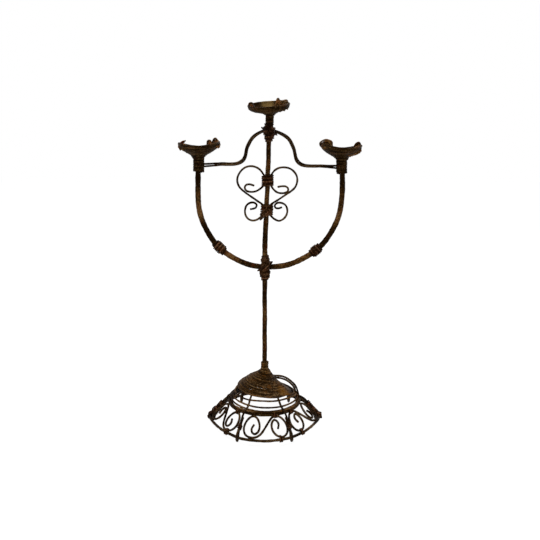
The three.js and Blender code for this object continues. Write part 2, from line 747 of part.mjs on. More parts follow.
// The bays between the legs hold one S scroll each, on the slope between the two rings.
const ringSeat = ringWire / 2 + clearance + scrollWire / 2; // from a ring's middle to a scroll that bears on it
const scrollFoot = [footRingRadius - 0.75 * ringSeat, footRingHeight + 0.8 * ringSeat];
const scrollTopOut = 0.95 * ringSeat;
const scrollTopDrop = 0.45 * ringSeat;

function onSlope(bay, along, share) {
  const top = [ringRadiusAt(bay) + scrollTopOut, upperRingHeight - scrollTopDrop];
  const middle = mix(top[0], scrollFoot[0], 0.5);
  return onBase(bay + along / middle, mix(top[0], scrollFoot[0], share), mix(top[1], scrollFoot[1], share));
}

const eyeAlong = 19; // from the middle of a bay to the eye of a scroll
const eyeUp = 1.7;
const scrollEnd = 4.2; // radius of the inner end
const scrollTurns = 1.45;
const scrollSqueeze = 0.86; // a scroll is this much narrower than it is tall

function addScroll(name, bay, hand) {
  const top = ringRadiusAt(bay) + scrollTopOut;
  const reach = Math.hypot(scrollFoot[0] - top, scrollFoot[1] - upperRingHeight + scrollTopDrop) / 2;
  const steps = 15;
  const half = [];
  for (let i = 0; i <= steps; i += 1) {
    const t = i / steps;
    const angle = -0.2 * Math.PI - scrollTurns * fullTurn * t;
    const radius = mix(reach - eyeUp, scrollEnd, t ** 1.5);
    half.push([-eyeAlong + scrollSqueeze * radius * Math.cos(angle), -eyeUp + radius * Math.sin(angle)]);
  }
  const mirrored = half.map(([along, up]) => [-along, -up]);
  const route = [...half.slice().reverse(), ...mirrored];
  const points = route.map(([along, up]) => onSlope(bay, hand * along, 0.5 - up / (2 * reach)));
  add(name, bar(points, scrollWire, 4, 42), wireIron);
}

// A tie is one turn and a bit round a ring and the scroll that bears on it. rods lists
// [radius, height, thickness].
function addTie(name, azimuth, rods) {
  const outward = onBase(azimuth, 1, 0).sub(onBase(azimuth, 0, 0));
  const [first] = rods;
  const points = lashing({
    origin: onBase(azimuth, first[0], first[1]),
    u: outward, v: axisZ, w: axisZ.clone().cross(outward).normalize(),
    rodsAt: () => rods.map((rod) => round(rod[0] - first[0], rod[1] - first[1], rod[2] / 2)),
    turns: 1.25, pitch: turnPitch + 0.3, steps: 8, startAngle: 0, off: bindingSeat + 0.35,
  });
  addWinding(name, points, bindingWire, 4, bindingIron);
}

function addTies(number, bay, hand) {
  const top = ringRadiusAt(bay);
  const middle = mix(top + scrollTopOut, scrollFoot[0], 0.5);
  const turnedBy = (hand * eyeAlong) / middle;
  addTie(`tie_foot_${number}`, bay - turnedBy, [
    [footRingRadius, footRingHeight, ringWire], [scrollFoot[0], scrollFoot[1], scrollWire]]);
  addTie(`tie_upper_${number}`, bay + turnedBy, [
    [ringRadiusAt(bay + turnedBy), upperRingHeight, ringWire],
    [ringRadiusAt(bay + turnedBy) - ringStep, upperRingHeight, ringWire],
    [top + scrollTopOut, upperRingHeight - scrollTopDrop, scrollWire]]);
}

// ---------------------------------------------------------------- the whole stand
addStem();
addHoop();
addBracketWire('bracket_wire_upper', true);
addBracketWire('bracket_wire_lower', false);

addCup('cup_left', leftCup);
addCup('cup_right', rightCup);
addCup('cup_top', topCup);
addEndLoop('cup_left_loop_outer', leftCup, Math.PI, 0.9, leftLoopRise, loopLean);
addEndLoop('cup_left_loop_inner', leftCup, 0, 1, loopRise, loopLean);
addEndLoop('cup_right_loop_inner', rightCup, Math.PI, 1, loopRise, loopLean);
addEndLoop('cup_right_loop_outer', rightCup, 0, 0.9, rightLoopRise, loopLean);
addEndLoop('cup_top_loop_left', topCup, Math.PI, 0.5, topLoopRise, topLoopLean);
addEndLoop('cup_top_loop_right', topCup, 0, 0.9, topLoopRise, topLoopLean);

addStemWinding('hub_lashing_upper', hubHeight + 17.4, 4, 0);
const hoopRod = { y: hoopPlane, z: 0, radius: hoopRodRadius };
addCrossLashing('hub_lashing_cross', hubHeight, 4, true, [hoopRod], bindingSeat);
addStemWinding('hub_lashing_lower', hubHeight - 17.4, 4, Math.PI);

const bracketRods = [1, -1].map((side) => (
  { y: bracketPlane, z: (side * (bracketWire + clearance)) / 2, radius: bracketWire / 2 }));
addCrossLashing('top_lashing_rising', bracketPeak, 3, true, bracketRods, bindingSeat);
addCrossLashing('top_lashing_falling', bracketPeak, 3, false, bracketRods, bindingSeat + bindingLayer);
addStemWinding('top_lashing_lower', bracketPeak - 16, 2, 0);

addArmWrap('arm_wrap_left', 226, 5);
addArmWrap('arm_wrap_right', -50.6, 4);

addHeart('heart_scroll_left', -1, 1);
addHeart('heart_scroll_right', 1, 0.99);
addHeartBinding('heart_binding_upper', heartUpper, 4, false);
addHeartBinding('heart_binding_lower', heartLower, 2, true);

addBaseCoil();
const outerArch = [[0.62, 0.76], [0.91, 0.675], [1.15, 0.506], [1.28, 0.325], [1.36, 0.133]];
addLooseStrand('base_strand_outer', 2.01, 7, outerArch);
addLooseStrand('base_strand_inner', 1.88, 8, [[0.61, 0.682], [0.87, 0.586], [1.09, 0.422], [1.22, 0.265]]);
addUpperRing();
addFootRing();

for (let i = 0; i < legCount; i += 1) {
  const azimuth = ((i + 0.5) * fullTurn) / legCount;
  await addLeg(`leg_${i + 1}`, azimuth);
  addFootBinding(`foot_binding_${i + 1}`, azimuth);
}
for (let i = 0; i < legCount; i += 1) {
  const azimuth = (i * fullTurn) / legCount;
  const hand = i % 2 === 0 ? 1 : -1;
  addScroll(`scroll_${i + 1}`, azimuth, hand);
  addTies(i + 1, azimuth, hand);
}

export default stand;
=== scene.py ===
import math
import bpy
import numpy as np
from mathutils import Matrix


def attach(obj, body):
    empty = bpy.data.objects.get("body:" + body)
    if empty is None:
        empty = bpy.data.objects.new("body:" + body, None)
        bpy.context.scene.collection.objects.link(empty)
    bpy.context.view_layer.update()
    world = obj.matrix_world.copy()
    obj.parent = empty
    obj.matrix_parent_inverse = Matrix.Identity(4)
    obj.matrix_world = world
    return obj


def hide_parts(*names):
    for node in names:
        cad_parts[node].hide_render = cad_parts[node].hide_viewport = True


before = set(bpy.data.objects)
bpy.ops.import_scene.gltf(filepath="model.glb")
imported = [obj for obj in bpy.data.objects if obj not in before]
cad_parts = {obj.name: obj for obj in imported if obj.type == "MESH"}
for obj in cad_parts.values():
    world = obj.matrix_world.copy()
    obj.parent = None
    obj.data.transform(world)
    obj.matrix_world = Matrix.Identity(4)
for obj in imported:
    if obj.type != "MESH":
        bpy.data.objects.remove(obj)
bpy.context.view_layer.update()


# ---------------------------------------------------------------- camera
# A level camera in front of the stand, at the height of its upper part. Its frame is shifted down, so that
# the whole stand is in view and upright rods stay upright. Frame in pixels, eye in millimetres.
frame_width = 540
focal_length = 623
middle_across = 270
level_down = 140
eye = (0.6, -989, 446)

camera = bpy.data.objects.new("camera", bpy.data.cameras.new("camera"))
bpy.context.scene.collection.objects.link(camera)
bpy.context.scene.camera = camera
bpy.context.scene.view_settings.view_transform = "Standard"
camera.location = [distance / 1000 for distance in eye]
camera.rotation_euler = (math.radians(90), 0, 0)
camera.data.sensor_width = 36
camera.data.lens = camera.data.sensor_width * focal_length / frame_width
camera.data.shift_y = (level_down - middle_across) / frame_width


# ---------------------------------------------------------------- floor, sky and lamps
# A pale floor that keeps a faint shadow and is seen as white, a white sky, and three soft lamps. Like the
# iron further down, the floor is written with two classes: a value that works like a number, and a graph
# that makes any shader node from its type, its settings and its inputs.
class Value:
    def __init__(self, graph, socket):
        self.graph = graph
        self.socket = socket

    def math(self, operation, other, swap=False):
        values = [other, self] if swap else [self, other]
        return self.graph.node("Math", {"operation": operation}, dict(enumerate(values)))

    def __add__(self, other):
        return self.math("ADD", other)

    def __radd__(self, other):
        return self.math("ADD", other, swap=True)

    def __sub__(self, other):
        return self.math("SUBTRACT", other)

    def __rsub__(self, other):
        return self.math("SUBTRACT", other, swap=True)

    def __mul__(self, other):
        return self.math("MULTIPLY", other)

    def __rmul__(self, other):
        return self.math("MULTIPLY", other, swap=True)

    def step(self, low, high):
        """0 below low, 1 above high, and smooth between them."""
        return self.graph.node("MapRange", {"interpolation_type": "SMOOTHSTEP"}, {0: self, 1: low, 2: high})


class Graph:
    def __init__(self, name, kind="Material"):
        self.kind = kind
        self.owner = (bpy.data.worlds if kind == "World" else bpy.data.materials).new(name)
        self.owner.use_nodes = True
        self.nodes = self.owner.node_tree.nodes
        self.links = self.owner.node_tree.links
        self.nodes.clear()

    def node(self, kind, settings=None, inputs=None, output=0):
        made = self.nodes.new("ShaderNode" + kind)
        for name, setting in (settings or {}).items():
            setattr(made, name, setting)
        for key, value in (inputs or {}).items():
            if isinstance(value, Value):
                self.links.new(value.socket, made.inputs[key])
            else:
                made.inputs[key].default_value = value
        return Value(self, made.outputs[output])

    def mix(self, factor, first, second):
        """One colour over another. A Mix node's colours are its inputs 6 and 7 and its output 2."""
        return self.node("Mix", {"data_type": "RGBA"}, {0: factor, 6: first, 7: second}, 2)

    def noise(self, place, scale, detail=3, roughness=0.55):
        """Noise with about `scale` lumps a metre."""
        inputs = {"Vector": place, "Scale": scale, "Detail": detail, "Roughness": roughness}
        return self.node("TexNoise", None, inputs)

    def finish(self, shader):
        out = self.nodes.new("ShaderNodeOutput" + self.kind)
        self.links.new(shader.socket, out.inputs["Surface"])
        return self.owner


def in_sight(graph):
    """1 for what the camera sees, also in a reflection or through a clear piece. 0 for what only lights."""
    rays = ("Is Camera Ray", "Is Glossy Ray", "Is Transmission Ray")
    direct, glossy, clear = (graph.node("LightPath", output=ray) for ray in rays)
    return direct + glossy + clear


white = (1, 1, 1, 1)
floor_half = 6
floor_drop = 0.0004
paper_share = 0.8


def make_floor():
    graph = Graph("floor")
    cloth = graph.node("BsdfDiffuse", None, {"Color": (0.85, 0.85, 0.85, 1)})
    paper = graph.node("Emission", None, {"Color": white, "Strength": 1.16})
    shader = graph.node("MixShader", None, {0: in_sight(graph) * paper_share, 1: cloth, 2: paper})
    signs = ((-1, -1), (1, -1), (1, 1), (-1, 1))
    corners = [(across * floor_half, back * floor_half, 0) for across, back in signs]
    mesh = bpy.data.meshes.new("floor")
    mesh.from_pydata(corners, [], [(0, 1, 2, 3)])
    mesh.materials.append(graph.finish(shader))
    floor = bpy.data.objects.new("floor", mesh)
    floor.location.z = -floor_drop
    bpy.context.scene.collection.objects.link(floor)


def make_sky():
    graph = Graph("sky", "World")
    light = graph.node("Background", None, {"Color": white, "Strength": 0.42})
    backdrop = graph.node("Background", None, {"Color": white, "Strength": 1})
    shader = graph.node("MixShader", None, {0: in_sight(graph), 1: light, 2: backdrop})
    bpy.context.scene.world = graph.finish(shader)


lamp_aim = (0, 0, 0.26)


def make_lamp(name, place, size, watts, colour=(1, 1, 1)):
    """A square lamp, turned to the middle of the stand."""
    light = bpy.data.lights.new(name, "AREA")
    light.size = size
    light.energy = watts
    light.color = colour
    lamp = bpy.data.objects.new(name, light)
    lamp.location = place
    x, y, z = np.array(lamp_aim) - np.array(place)
    tilt = math.atan2(math.hypot(x, y), -z)
    turn = math.atan2(y, x) - math.pi / 2
    lamp.rotation_euler = (tilt, 0, turn)
    bpy.context.scene.collection.objects.link(lamp)


make_floor()
make_sky()
make_lamp("key", place=(-0.7, -0.9, 2.3), size=1.1, watts=38, colour=(1, 0.97, 0.93))
make_lamp("fill", place=(1.6, -1.2, 0.9), size=1.4, watts=11)
make_lamp("back", place=(0.6, 1.6, 1.3), size=1.2, watts=12)


# ---------------------------------------------------------------- stem
# A rod of quarter inch iron, upright to the hub and leaning a little to the right above it, with its foot in
# the base coil. Like all the rest it is hand-worked: dark oiled skin with redder and olive patches, light
# tan spots that are partly bare metal where it was rubbed and partly painted highlights, a section and a
# line that waver a little, and blunt, rounded ends.
def srgb(red, green, blue):
    """A colour given as it looks on a screen, 0 to 255."""
    shades = [shade / 255 for shade in (red, green, blue)]
    linear = [shade / 12.92 if shade <= 0.04045 else ((shade + 0.055) / 1.055) ** 2.4 for shade in shades]
    return (*linear, 1)


def iron(name, skin, patch, rust, rubbed_and_highlight, rusting, rubbing_and_highlights, rough, stains_and_light=()):
    """Iron of four colours, the last a light tan that is partly rubbed bare metal and partly painted
    highlight.

    Rusting and rubbing are amounts, and a stain is a place, a size and a colour. Most stains are real, and
    one is a painted patch of light.
    """
    graph = Graph(name)
    place = graph.node("TexCoord", output="Object")
    tone = graph.node("Attribute", {"attribute_type": "GEOMETRY", "attribute_name": "tone"}, output="Fac")
    broad = graph.noise(place, 45, 2)
    fine = graph.noise(place, 330, 4, 0.6)
    grain = graph.noise(place, 1300, 2)
    spots = graph.noise(place, 130)
    patchy = (broad * 0.6 + fine * 0.5 + tone * 0.35).step(0.58, 0.98)
    colour = graph.mix(patchy, skin, patch)
    rusty = (spots + tone * 0.2).step(0.72 - 0.2 * rusting, 0.82) * rusting
    colour = graph.mix(rusty, colour, rust)
    # Stains: real rust and discolouring, except the top cup's light tan one, which is a painted patch of
    # light.
    for middle, size, stain_and_light in stains_and_light:
        ends = {0: place, 1: np.array(middle) / 1000}
        away = graph.node("VectorMath", {"operation": "DISTANCE"}, ends, "Value")
        stain_and_light_mask = 1 - (away * (1000 / size) + fine - broad).step(0.6, 1.3)
        colour = graph.mix(stain_and_light_mask, colour, stain_and_light)
    # Light tan spots: partly bare metal where it was rubbed, partly painted highlights.
    rub_and_highlight_mask = (grain * 0.55 + fine * 0.45 + tone * 0.15).step(0.58, 0.74) * rubbing_and_highlights
    colour = graph.mix(rub_and_highlight_mask, colour, rubbed_and_highlight)
    roughness = rough + 0.3 * (fine - 0.5) - 0.12 * rub_and_highlight_mask
    height = fine * 0.7 + grain * 0.3
    pits = graph.node("Bump", None, {"Strength": 0.6, "Distance": 0.0006, "Height": height})
    shader = graph.node("BsdfPrincipled", None, {
        "Base Color": colour, "Roughness": roughness, "Normal": pits, "Metallic": 0.25,
        "Specular IOR Level": 0.05, "Specular Tint": srgb(112, 78, 46)})
    return graph.finish(shader)


def even(places, spacing):
    """The same route with its places at even distances."""
    places = np.array(places, float)
    along = np.concatenate([[0], np.cumsum(np.linalg.norm(np.diff(places, axis=0), axis=1))])
    wanted = np.linspace(0, along[-1], max(int(along[-1] / spacing), 2) + 1)
    return np.stack([np.interp(wanted, along, places[:, k]) for k in range(3)], axis=1)


def curve(points, spacing):
    """Even places along a smooth curve through the points, in millimetres."""
    knots = np.array(points, float)
    knots = np.vstack([2 * knots[0] - knots[1], knots, 2 * knots[-1] - knots[-2]])
    run = np.maximum(np.linalg.norm(np.diff(knots, axis=0), axis=1) ** 0.5, 1e-6)
    t = np.linspace(0, 1, 24, endpoint=False)[:, None]
    places = []
    for i in range(1, len(knots) - 2):
        previous, start, end, following = knots[i - 1:i + 3]
        before, here, after = run[i - 1:i + 2]
        leaving = (start - previous) / before - (end - previous) / (before + here) + (end - start) / here
        arriving = (end - start) / here - (following - start) / (here + after) + (following - end) / after
        places.append((2 * t**3 - 3 * t**2 + 1) * start + (t**3 - 2 * t**2 + t) * (leaving * here)
                      + (3 * t**2 - 2 * t**3) * end + (t**3 - t**2) * (arriving * here))
    return even(np.vstack([*places, knots[-2:-1]]), spacing)


def waver(along, rng, length):
    """A smooth wandering value between about -1 and 1, over a typical length."""
    waves = 5
    total = np.zeros(len(along))
    for _ in range(waves):
        wave_length = length * rng.uniform(0.6, 2.2)
        total += np.sin(along * 2 * math.pi / wave_length + rng.uniform(0, 2 * math.pi))
    return total / waves**0.5 / 1.5


def ways_along(route, closed):
    """At each place of a route, the way along it and two ways square to that, which don't twist."""
    tangent = np.gradient(route, axis=0)
    if closed:
        tangent[0] = tangent[-1] = route[1] - route[-2]
    tangent /= np.linalg.norm(tangent, axis=1)[:, None]
    steady = (0, 0, 1) if abs(tangent[0][2]) < 0.9 else (1, 0, 0)
    normal = np.zeros_like(route)
    normal[0] = np.cross(tangent[0], steady)
    normal[0] /= np.linalg.norm(normal[0])
    for i in range(1, len(route)):
        turned = normal[i - 1] - tangent[i] * normal[i - 1].dot(tangent[i])
        normal[i] = turned / np.linalg.norm(turned)
    return tangent, normal, np.cross(tangent, normal)


def tube(route, diameter, rng, sides, bend, dent, closed=False):
    """Corners, faces and tone of one wire along a route. The diameter is one value or one for each place.

    Bend is how far its line wavers, in millimetres, and dent how far its section does, as a share.
    """
    route = np.array(route, float)
    count = len(route)
    along = np.arange(count) * np.linalg.norm(np.diff(route, axis=0), axis=1).mean()
    tangent, normal, side = ways_along(route, closed)
    fade = np.minimum(1, np.minimum(along, along[-1] - along) / 6) if closed else 1
    wander = (waver(along, rng, 38) * fade)[:, None] * normal
    wander = wander + (waver(along, rng, 45) * fade)[:, None] * side
    centre = route + bend * wander
    angle = np.arange(sides)[None, :] * 2 * math.pi / sides
    thick = np.broadcast_to(diameter, count)
    lumps = dent * (fade * waver(along, rng, 7))[:, None]
    twist = 3 * (fade * waver(along, rng, 20))[:, None]
    radius = thick[:, None] / 2 * (1 + lumps + dent * 0.8 * np.sin(2 * angle + twist))
    outward = np.cos(angle)[..., None] * normal[:, None] + np.sin(angle)[..., None] * side[:, None]
    rings = centre[:, None] + radius[..., None] * outward
    tone = 0.5 + 0.5 * waver(along, rng, 55)
    tones = np.repeat(tone, sides)
    corners = rings.reshape(-1, 3)
    starts = np.arange(count - 1)[:, None] * sides
    here = starts + np.arange(sides)
    beside = starts + (np.arange(sides) + 1) % sides
    faces = np.stack([here, beside, beside + sides, here + sides], axis=-1).reshape(-1, 4).tolist()
    if closed:
        return corners, faces, tones
    for end, way in ((0, -1), (count - 1, 1)):
        last = end * sides
        start = len(corners)
        cap = centre[end] + way * tangent[end] * thick[end] * 0.16
        rim = cap + (rings[end] - centre[end]) * 0.72
        tip = cap + way * tangent[end] * thick[end] * 0.03
        corners = np.vstack([corners, rim, tip])
        tones = np.concatenate([tones, np.full(sides + 1, tone[end])])
        for k in range(sides):
            n = (k + 1) % sides
            bevel = [last + k, last + n, start + n, start + k]
            wedge = [start + k, start + n, start + sides]
            faces += [bevel[::way], wedge[::way]]
    return corners, faces, tones


def make_piece(name, routes, diameter, material, slot, nodes, seed, **options):
    """One piece of the stand out of one or more wires. It stands for the CAD nodes of the given names."""
    rng = np.random.default_rng(seed)
    corners, faces, tones = [], [], []
    for route in routes:
        more, quads, tone = tube(route, diameter, rng, **options)
        start = sum(len(k) for k in corners)
        corners.append(more)
        faces += [[start + corner for corner in face] for face in quads]
        tones.append(tone)
    mesh = bpy.data.meshes.new(name)
    mesh.from_pydata((np.vstack(corners) / 1000).tolist(), [], faces)
    mesh.attributes.new("tone", "FLOAT", "POINT").data.foreach_set("value", np.concatenate(tones))
    mesh.shade_smooth()
    mesh.materials.append(material)
    mesh.update()
    piece = bpy.data.objects.new(name, mesh)
    bpy.context.scene.collection.objects.link(piece)
    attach(piece, "root")
    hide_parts(*nodes)


# In each iron below, the rubbed colour is partly worn bare metal and partly a painted highlight.
rod_iron = iron("rod_iron", skin=srgb(22, 11, 2), patch=srgb(52, 31, 9), rust=srgb(64, 24, 5),
                rubbed_and_highlight=srgb(146, 112, 68), rusting=0.55, rubbing_and_highlights=0.42, rough=0.46)
stem_radius = 3.9
stem_foot = 62.5
stem_top = 487
stem_left = -7.9
stem_lean = 8.2
stem_turn = 34
hub_height = 243.7
bow_depth = 0.9
bow_middle = 285
bow_length = 45
swell_heights = [200, 255, 300, 350]
swell = [0.97, 1.1, 1.08, 0.98]
blunt = 0.4


def stem_x(z):
    """How far to the right the stem's line is. It turns from upright to leaning at the hub."""
    above = z - hub_height
    return stem_left + stem_lean / (stem_top - hub_height) * 0.5 * (above + math.hypot(above, stem_turn))


def stem_place(z):
    """A place on the stem, which bows a little to the left above the hub."""
    return (stem_x(z) - bow_depth * math.exp(-((z - bow_middle) / bow_length) ** 2), 0, z)


stem_route = curve([stem_place(z) for z in np.linspace(stem_foot, stem_top - blunt, 14)], 2)
stem_thick = 2 * stem_radius * np.interp(stem_route[:, 2], swell_heights, swell)
make_piece("stem_rod", [stem_route], stem_thick, rod_iron, "rod_iron", ["stem"], seed=1, sides=20,
           bend=0.25, dent=0.035)


# ---------------------------------------------------------------- arm hoop
# A five sixteenths rod bent by hand to about a half circle, a little full at the lower left, with upright
# ends that carry the side cups. It passes behind the stem and is lashed to it.
quarter_inch = 6.35
five_sixteenths = 7.94
clearance = 0.3
hoop_x = 1.1
hoop_y = quarter_inch / 2 + clearance + five_sixteenths / 2
hoop_radius = 114.3
hoop_z = hub_height + hoop_radius
hoop_rod_radius = 4.45
arm_tops = (419.5, 416.5)
arm_x = (hoop_x - hoop_radius - 1.2, hoop_x + hoop_radius + 0.7)
arm_straight = hoop_z + 20
hoop_angles = [180, 200, 226, 241, 265, 282, 340, 360]
hoop_fullness = [1.2, 1.9, 2.5, 2.5, 1.0, 0.3, -0.2, 0.4]
full_turn = 360.001


def hoop_place(degrees, out=0, back=0):
    """A place on the hoop, or beside it. A full turn is just over 360, so that 360 stays the last angle."""
    angle = math.radians(degrees)
    radius = hoop_radius + out + np.interp(degrees % full_turn, hoop_angles, hoop_fullness)
    return (hoop_x + radius * math.cos(angle), hoop_y + back, hoop_z + radius * math.sin(angle))


hoop_route = [(arm_x[0], hoop_y, arm_tops[0] - blunt), (arm_x[0], hoop_y, arm_straight)]
hoop_route += [hoop_place(180 + 180 * i / 16) for i in range(17)]
hoop_route += [(arm_x[1], hoop_y, arm_straight), (arm_x[1], hoop_y, arm_tops[1] - blunt)]
make_piece("arm_hoop_rod", [curve(hoop_route, 2)], 2 * hoop_rod_radius, rod_iron, "rod_iron", ["arm_hoop"],
           seed=2, sides=20, bend=0.35, dent=0.04)


# ---------------------------------------------------------------- bracket
# Two wires side by side, from neck to neck, that arch over behind the stem. They part where they enter the
# necks and turn along the arm ends under the windings. One lies half behind the other.
wire_iron = iron("wire_iron", skin=srgb(22, 13, 5), patch=srgb(52, 36, 17), rust=srgb(58, 27, 8),
                 rubbed_and_highlight=srgb(134, 112, 82), rusting=0.4, rubbing_and_highlights=0.4, rough=0.48)
bracket_wire = 3.2
bracket_y = 5.6
bracket_level = 405.6
bracket_peak = 460.5
right_drop = 2.6
tail_x = 5.1
tail_back = bracket_y - hoop_y
tail_bend = 2.6
tail_length = 9


def bracket_route(sign):
    """The upper wire (1) or the lower one (-1). A place's last number is how far aside its wire lies."""
    off = sign * bracket_wire * 0.36
    left, right = arm_x[0] + tail_x, arm_x[1] - tail_x
    low, peak = bracket_level, stem_x(bracket_peak)
    left_level = low + sign * 2.3
    right_level = left_level - right_drop
    places = [
        (left, left_level + sign * tail_length, 0),
        (left, left_level + sign * tail_bend, 0),
        (left + 0.3 * tail_bend, left_level + sign * 0.3 * tail_bend, 0),
        (left + tail_bend, left_level, 0),
        (left + 18, low + 1 + sign * 1.7, 0.4),
        (left + 32, low + 2 + off * 1.25, 1),
        (-50.5 - off, low + 3.2 + off, 1),
        (-40.8 - off, low + 10.4 + off, 1),
        (-35.2 - off, low + 30.4 + off * 0.6, 1),
        (-25.7 - off * 0.7, low + 45.4 + off, 1),
        (peak - 10, bracket_peak - 0.3 + off, 0.9),
        (peak - 4, bracket_peak + off, 0.5),
        (peak + 4, bracket_peak + off, 0.5),
        (peak + 10, bracket_peak - 0.6 + off, 0.9),
        (29 + off * 0.7, low + 43.4 + off, 1),
        (38.2 + off, low + 27.4 + off * 0.6, 1),
        (43.3 + off, low + 8.4 + off, 1),
        (51.5 + off, low + 0.9 + off, 1),
        (right - 26, low - 1.4 + off * 0.9, 0.8),
        (right - tail_bend, right_level, 0),
        (right - 0.3 * tail_bend, right_level + sign * 0.3 * tail_bend, 0),
        (right, right_level + sign * tail_bend, 0),
        (right, right_level + sign * tail_length, 0)]
    return curve([(x, bracket_y + off * aside, z) for x, z, aside in places], 1.5)


for name, sign in (("upper", 1), ("lower", -1)):
    make_piece(f"bracket_{name}", [bracket_route(sign)], bracket_wire, wire_iron, "wire_iron",
               [f"bracket_wire_{name}"], seed=10 + sign, sides=14, bend=0.12, dent=0.05)


# ---------------------------------------------------------------- cups
# Each cup is one wire: close turns round the rod's end and the bracket's tails, then touching turns that
# widen to a shallow bowl. Its two ends stand up over the rim in bunched loops with rusty tops, rubbed and
# with painted highlights.
# The cup iron's stain, inside the back of the top cup's bowl, is a painted patch of overhead light.
cup_iron = iron("cup_iron", skin=srgb(20, 10, 2), patch=srgb(52, 35, 13), rust=srgb(58, 22, 8),
                rubbed_and_highlight=srgb(118, 96, 66), rusting=0.5, rubbing_and_highlights=0.4, rough=0.48,
                stains_and_light=[((-2.6, 28, 503), 12, srgb(104, 84, 48))])
loop_stains = [((-143, 6, 439), 7, srgb(128, 48, 12)), ((91, 6, 441), 9, srgb(124, 88, 34)),
               ((12, 4, 502), 10, srgb(60, 38, 12))]
loop_iron = iron("loop_iron", skin=srgb(42, 24, 7), patch=srgb(96, 68, 30), rust=srgb(108, 50, 14),
                 rubbed_and_highlight=srgb(160, 130, 92), rusting=0.6, rubbing_and_highlights=0.5, rough=0.5, stains_and_light=loop_stains)
cup_wire = 2.5
touching_wire = cup_wire + 0.3
loop_wire = 2.8
crowding = 1.25
cup_sway = 0.3


def taut(rods, off, angle, slant=1.0):
    """Where a taut wire lies round some rods (u, v, radius), in the direction of an angle."""
    cosine, sine = math.cos(angle), math.sin(angle)
    best, place = -math.inf, None
    for u, v, radius in rods:
        wide, high = (radius + off) / slant, radius + off
        reach = math.hypot(wide * cosine, high * sine)
        support = u * cosine + v * sine + reach
        if support > best:
            best = support
            place = (u + wide * wide * cosine / reach, v + high * high * sine / reach)
    return place


def on_profile(profile, share):
    """The place (out, up) at a share of a profile's length."""
    out, up = np.array(profile, float).T
    along = np.concatenate([[0], np.cumsum(np.hypot(np.diff(out), np.diff(up)))])
    return np.interp(share * along[-1], along, out), np.interp(share * along[-1], along, up)


def lean_bowl(cup, place, settle):
    """A place on the bowl as it really leans: tilted to the front or back, rolled and shifted to a side."""
    x, y, z = place
    tilt, roll = math.radians(cup["tilt"]) * settle, math.radians(-cup["roll"]) * settle
    y, z = y * math.cos(tilt) - z * math.sin(tilt), y * math.sin(tilt) + z * math.cos(tilt)
    x, z = x * math.cos(roll) + z * math.sin(roll), -x * math.sin(roll) + z * math.cos(roll)
    return x + cup["shift"] * settle, y, z


def cup_route(cup):
    """The neck's turns from the bottom up, then the bowl's, which lie closer towards the rim."""
    rng = np.random.default_rng(cup["seed"])
    steps = 40
    rods = [(0, 0, cup["rod"]), *cup["tails"]]
    off = cup_wire / 2 + cup["slack"]
    places = []
    for i in range(int(cup["neck_turns"] * steps)):
        turn = i / steps
        u, v = taut(rods, off, cup["start"] + turn * 2 * math.pi)
        height = -cup["neck_length"] * (1 - turn / cup["neck_turns"])
        lean = stem_x(cup["seat"][2] + height) - cup["seat"][0] if cup["leans"] else 0
        places.append((u + lean, v, height))
    start = cup["start"] + cup["neck_turns"] * 2 * math.pi
    sway = [rng.uniform(0, 2 * math.pi) for _ in range(2)]
    for i in range(int(cup["turns"] * steps) + 1):
        share = 1 - max(1 - i / (cup["turns"] * steps), 0) ** crowding
        settle = min(share * 3, 1)
        angle = start + i / steps * 2 * math.pi
        u, v = taut(rods, off, angle)
        out, height = on_profile(cup["profile"], share)
        radius = max(math.hypot(u, v), out) + cup_sway * share * math.sin(angle * 0.37 + sway[0])
        aside = math.remainder(math.atan2(v, u) - angle, 2 * math.pi)
        way = angle + aside * (1 - settle)
        rise = (height + cup["saddle"] * share**3 * math.cos(way) ** 2
                + cup_sway * share * math.sin(angle * 0.61 + sway[1]) * settle)
        places.append(lean_bowl(cup, (radius * math.cos(way), radius * math.sin(way), rise), settle))
    return even(np.array(places) + cup["seat"], 1.1)


side_profile = [(7.9, 0), (12.4, 5.5), (19, 8.6), (25, 11.2), (29.5, 13.4), (32, 16), (32.4, 18.6)]
top_profile = [(6.3, 0), (8, 1.6), (11.5, 4), (16, 6.2), (21, 7.8), (27, 9.6), (31, 12), (32.3, 14.6),
               (32.3, 17.2)]
cups = {
    "left": {"seat": (arm_x[0], hoop_y, arm_tops[0] - 2), "rod": hoop_rod_radius, "leans": False,
             "tails": [(tail_x, tail_back, 1.5)], "slack": 1.1, "neck_length": 22, "neck_turns": 9.5,
             "profile": side_profile, "turns": 17.2, "saddle": 6.4, "tilt": 0, "roll": 2, "shift": 2.2,
             "start": -0.5, "seed": 21},
    "right": {"seat": (arm_x[1], hoop_y, arm_tops[1] - 2), "rod": hoop_rod_radius, "leans": False,
              "tails": [(-tail_x, tail_back, 1.5)], "slack": 1.0, "neck_length": 21.3, "neck_turns": 9,
              "profile": side_profile, "turns": 17.2, "saddle": 6.5, "tilt": 0, "roll": -3, "shift": -3.2,
              "start": 3.6, "seed": 22},
    "top": {"seat": (stem_x(stem_top - 1.4), 0, stem_top - 1.4), "rod": stem_radius, "leans": True,
            "tails": [], "slack": 0.4, "neck_length": 17, "neck_turns": 6.6,
            "profile": top_profile, "turns": 17.2, "saddle": 0, "tilt": 12.5, "roll": 4, "shift": -0.6,
            "start": 1.05, "seed": 23},
}
for name, cup in cups.items():
    make_piece(f"cup_{name}_coil", [cup_route(cup)], touching_wire, cup_iron, "wire_iron", [f"cup_{name}"],
               seed=cup["seed"], sides=10, bend=0.18, dent=0.06)

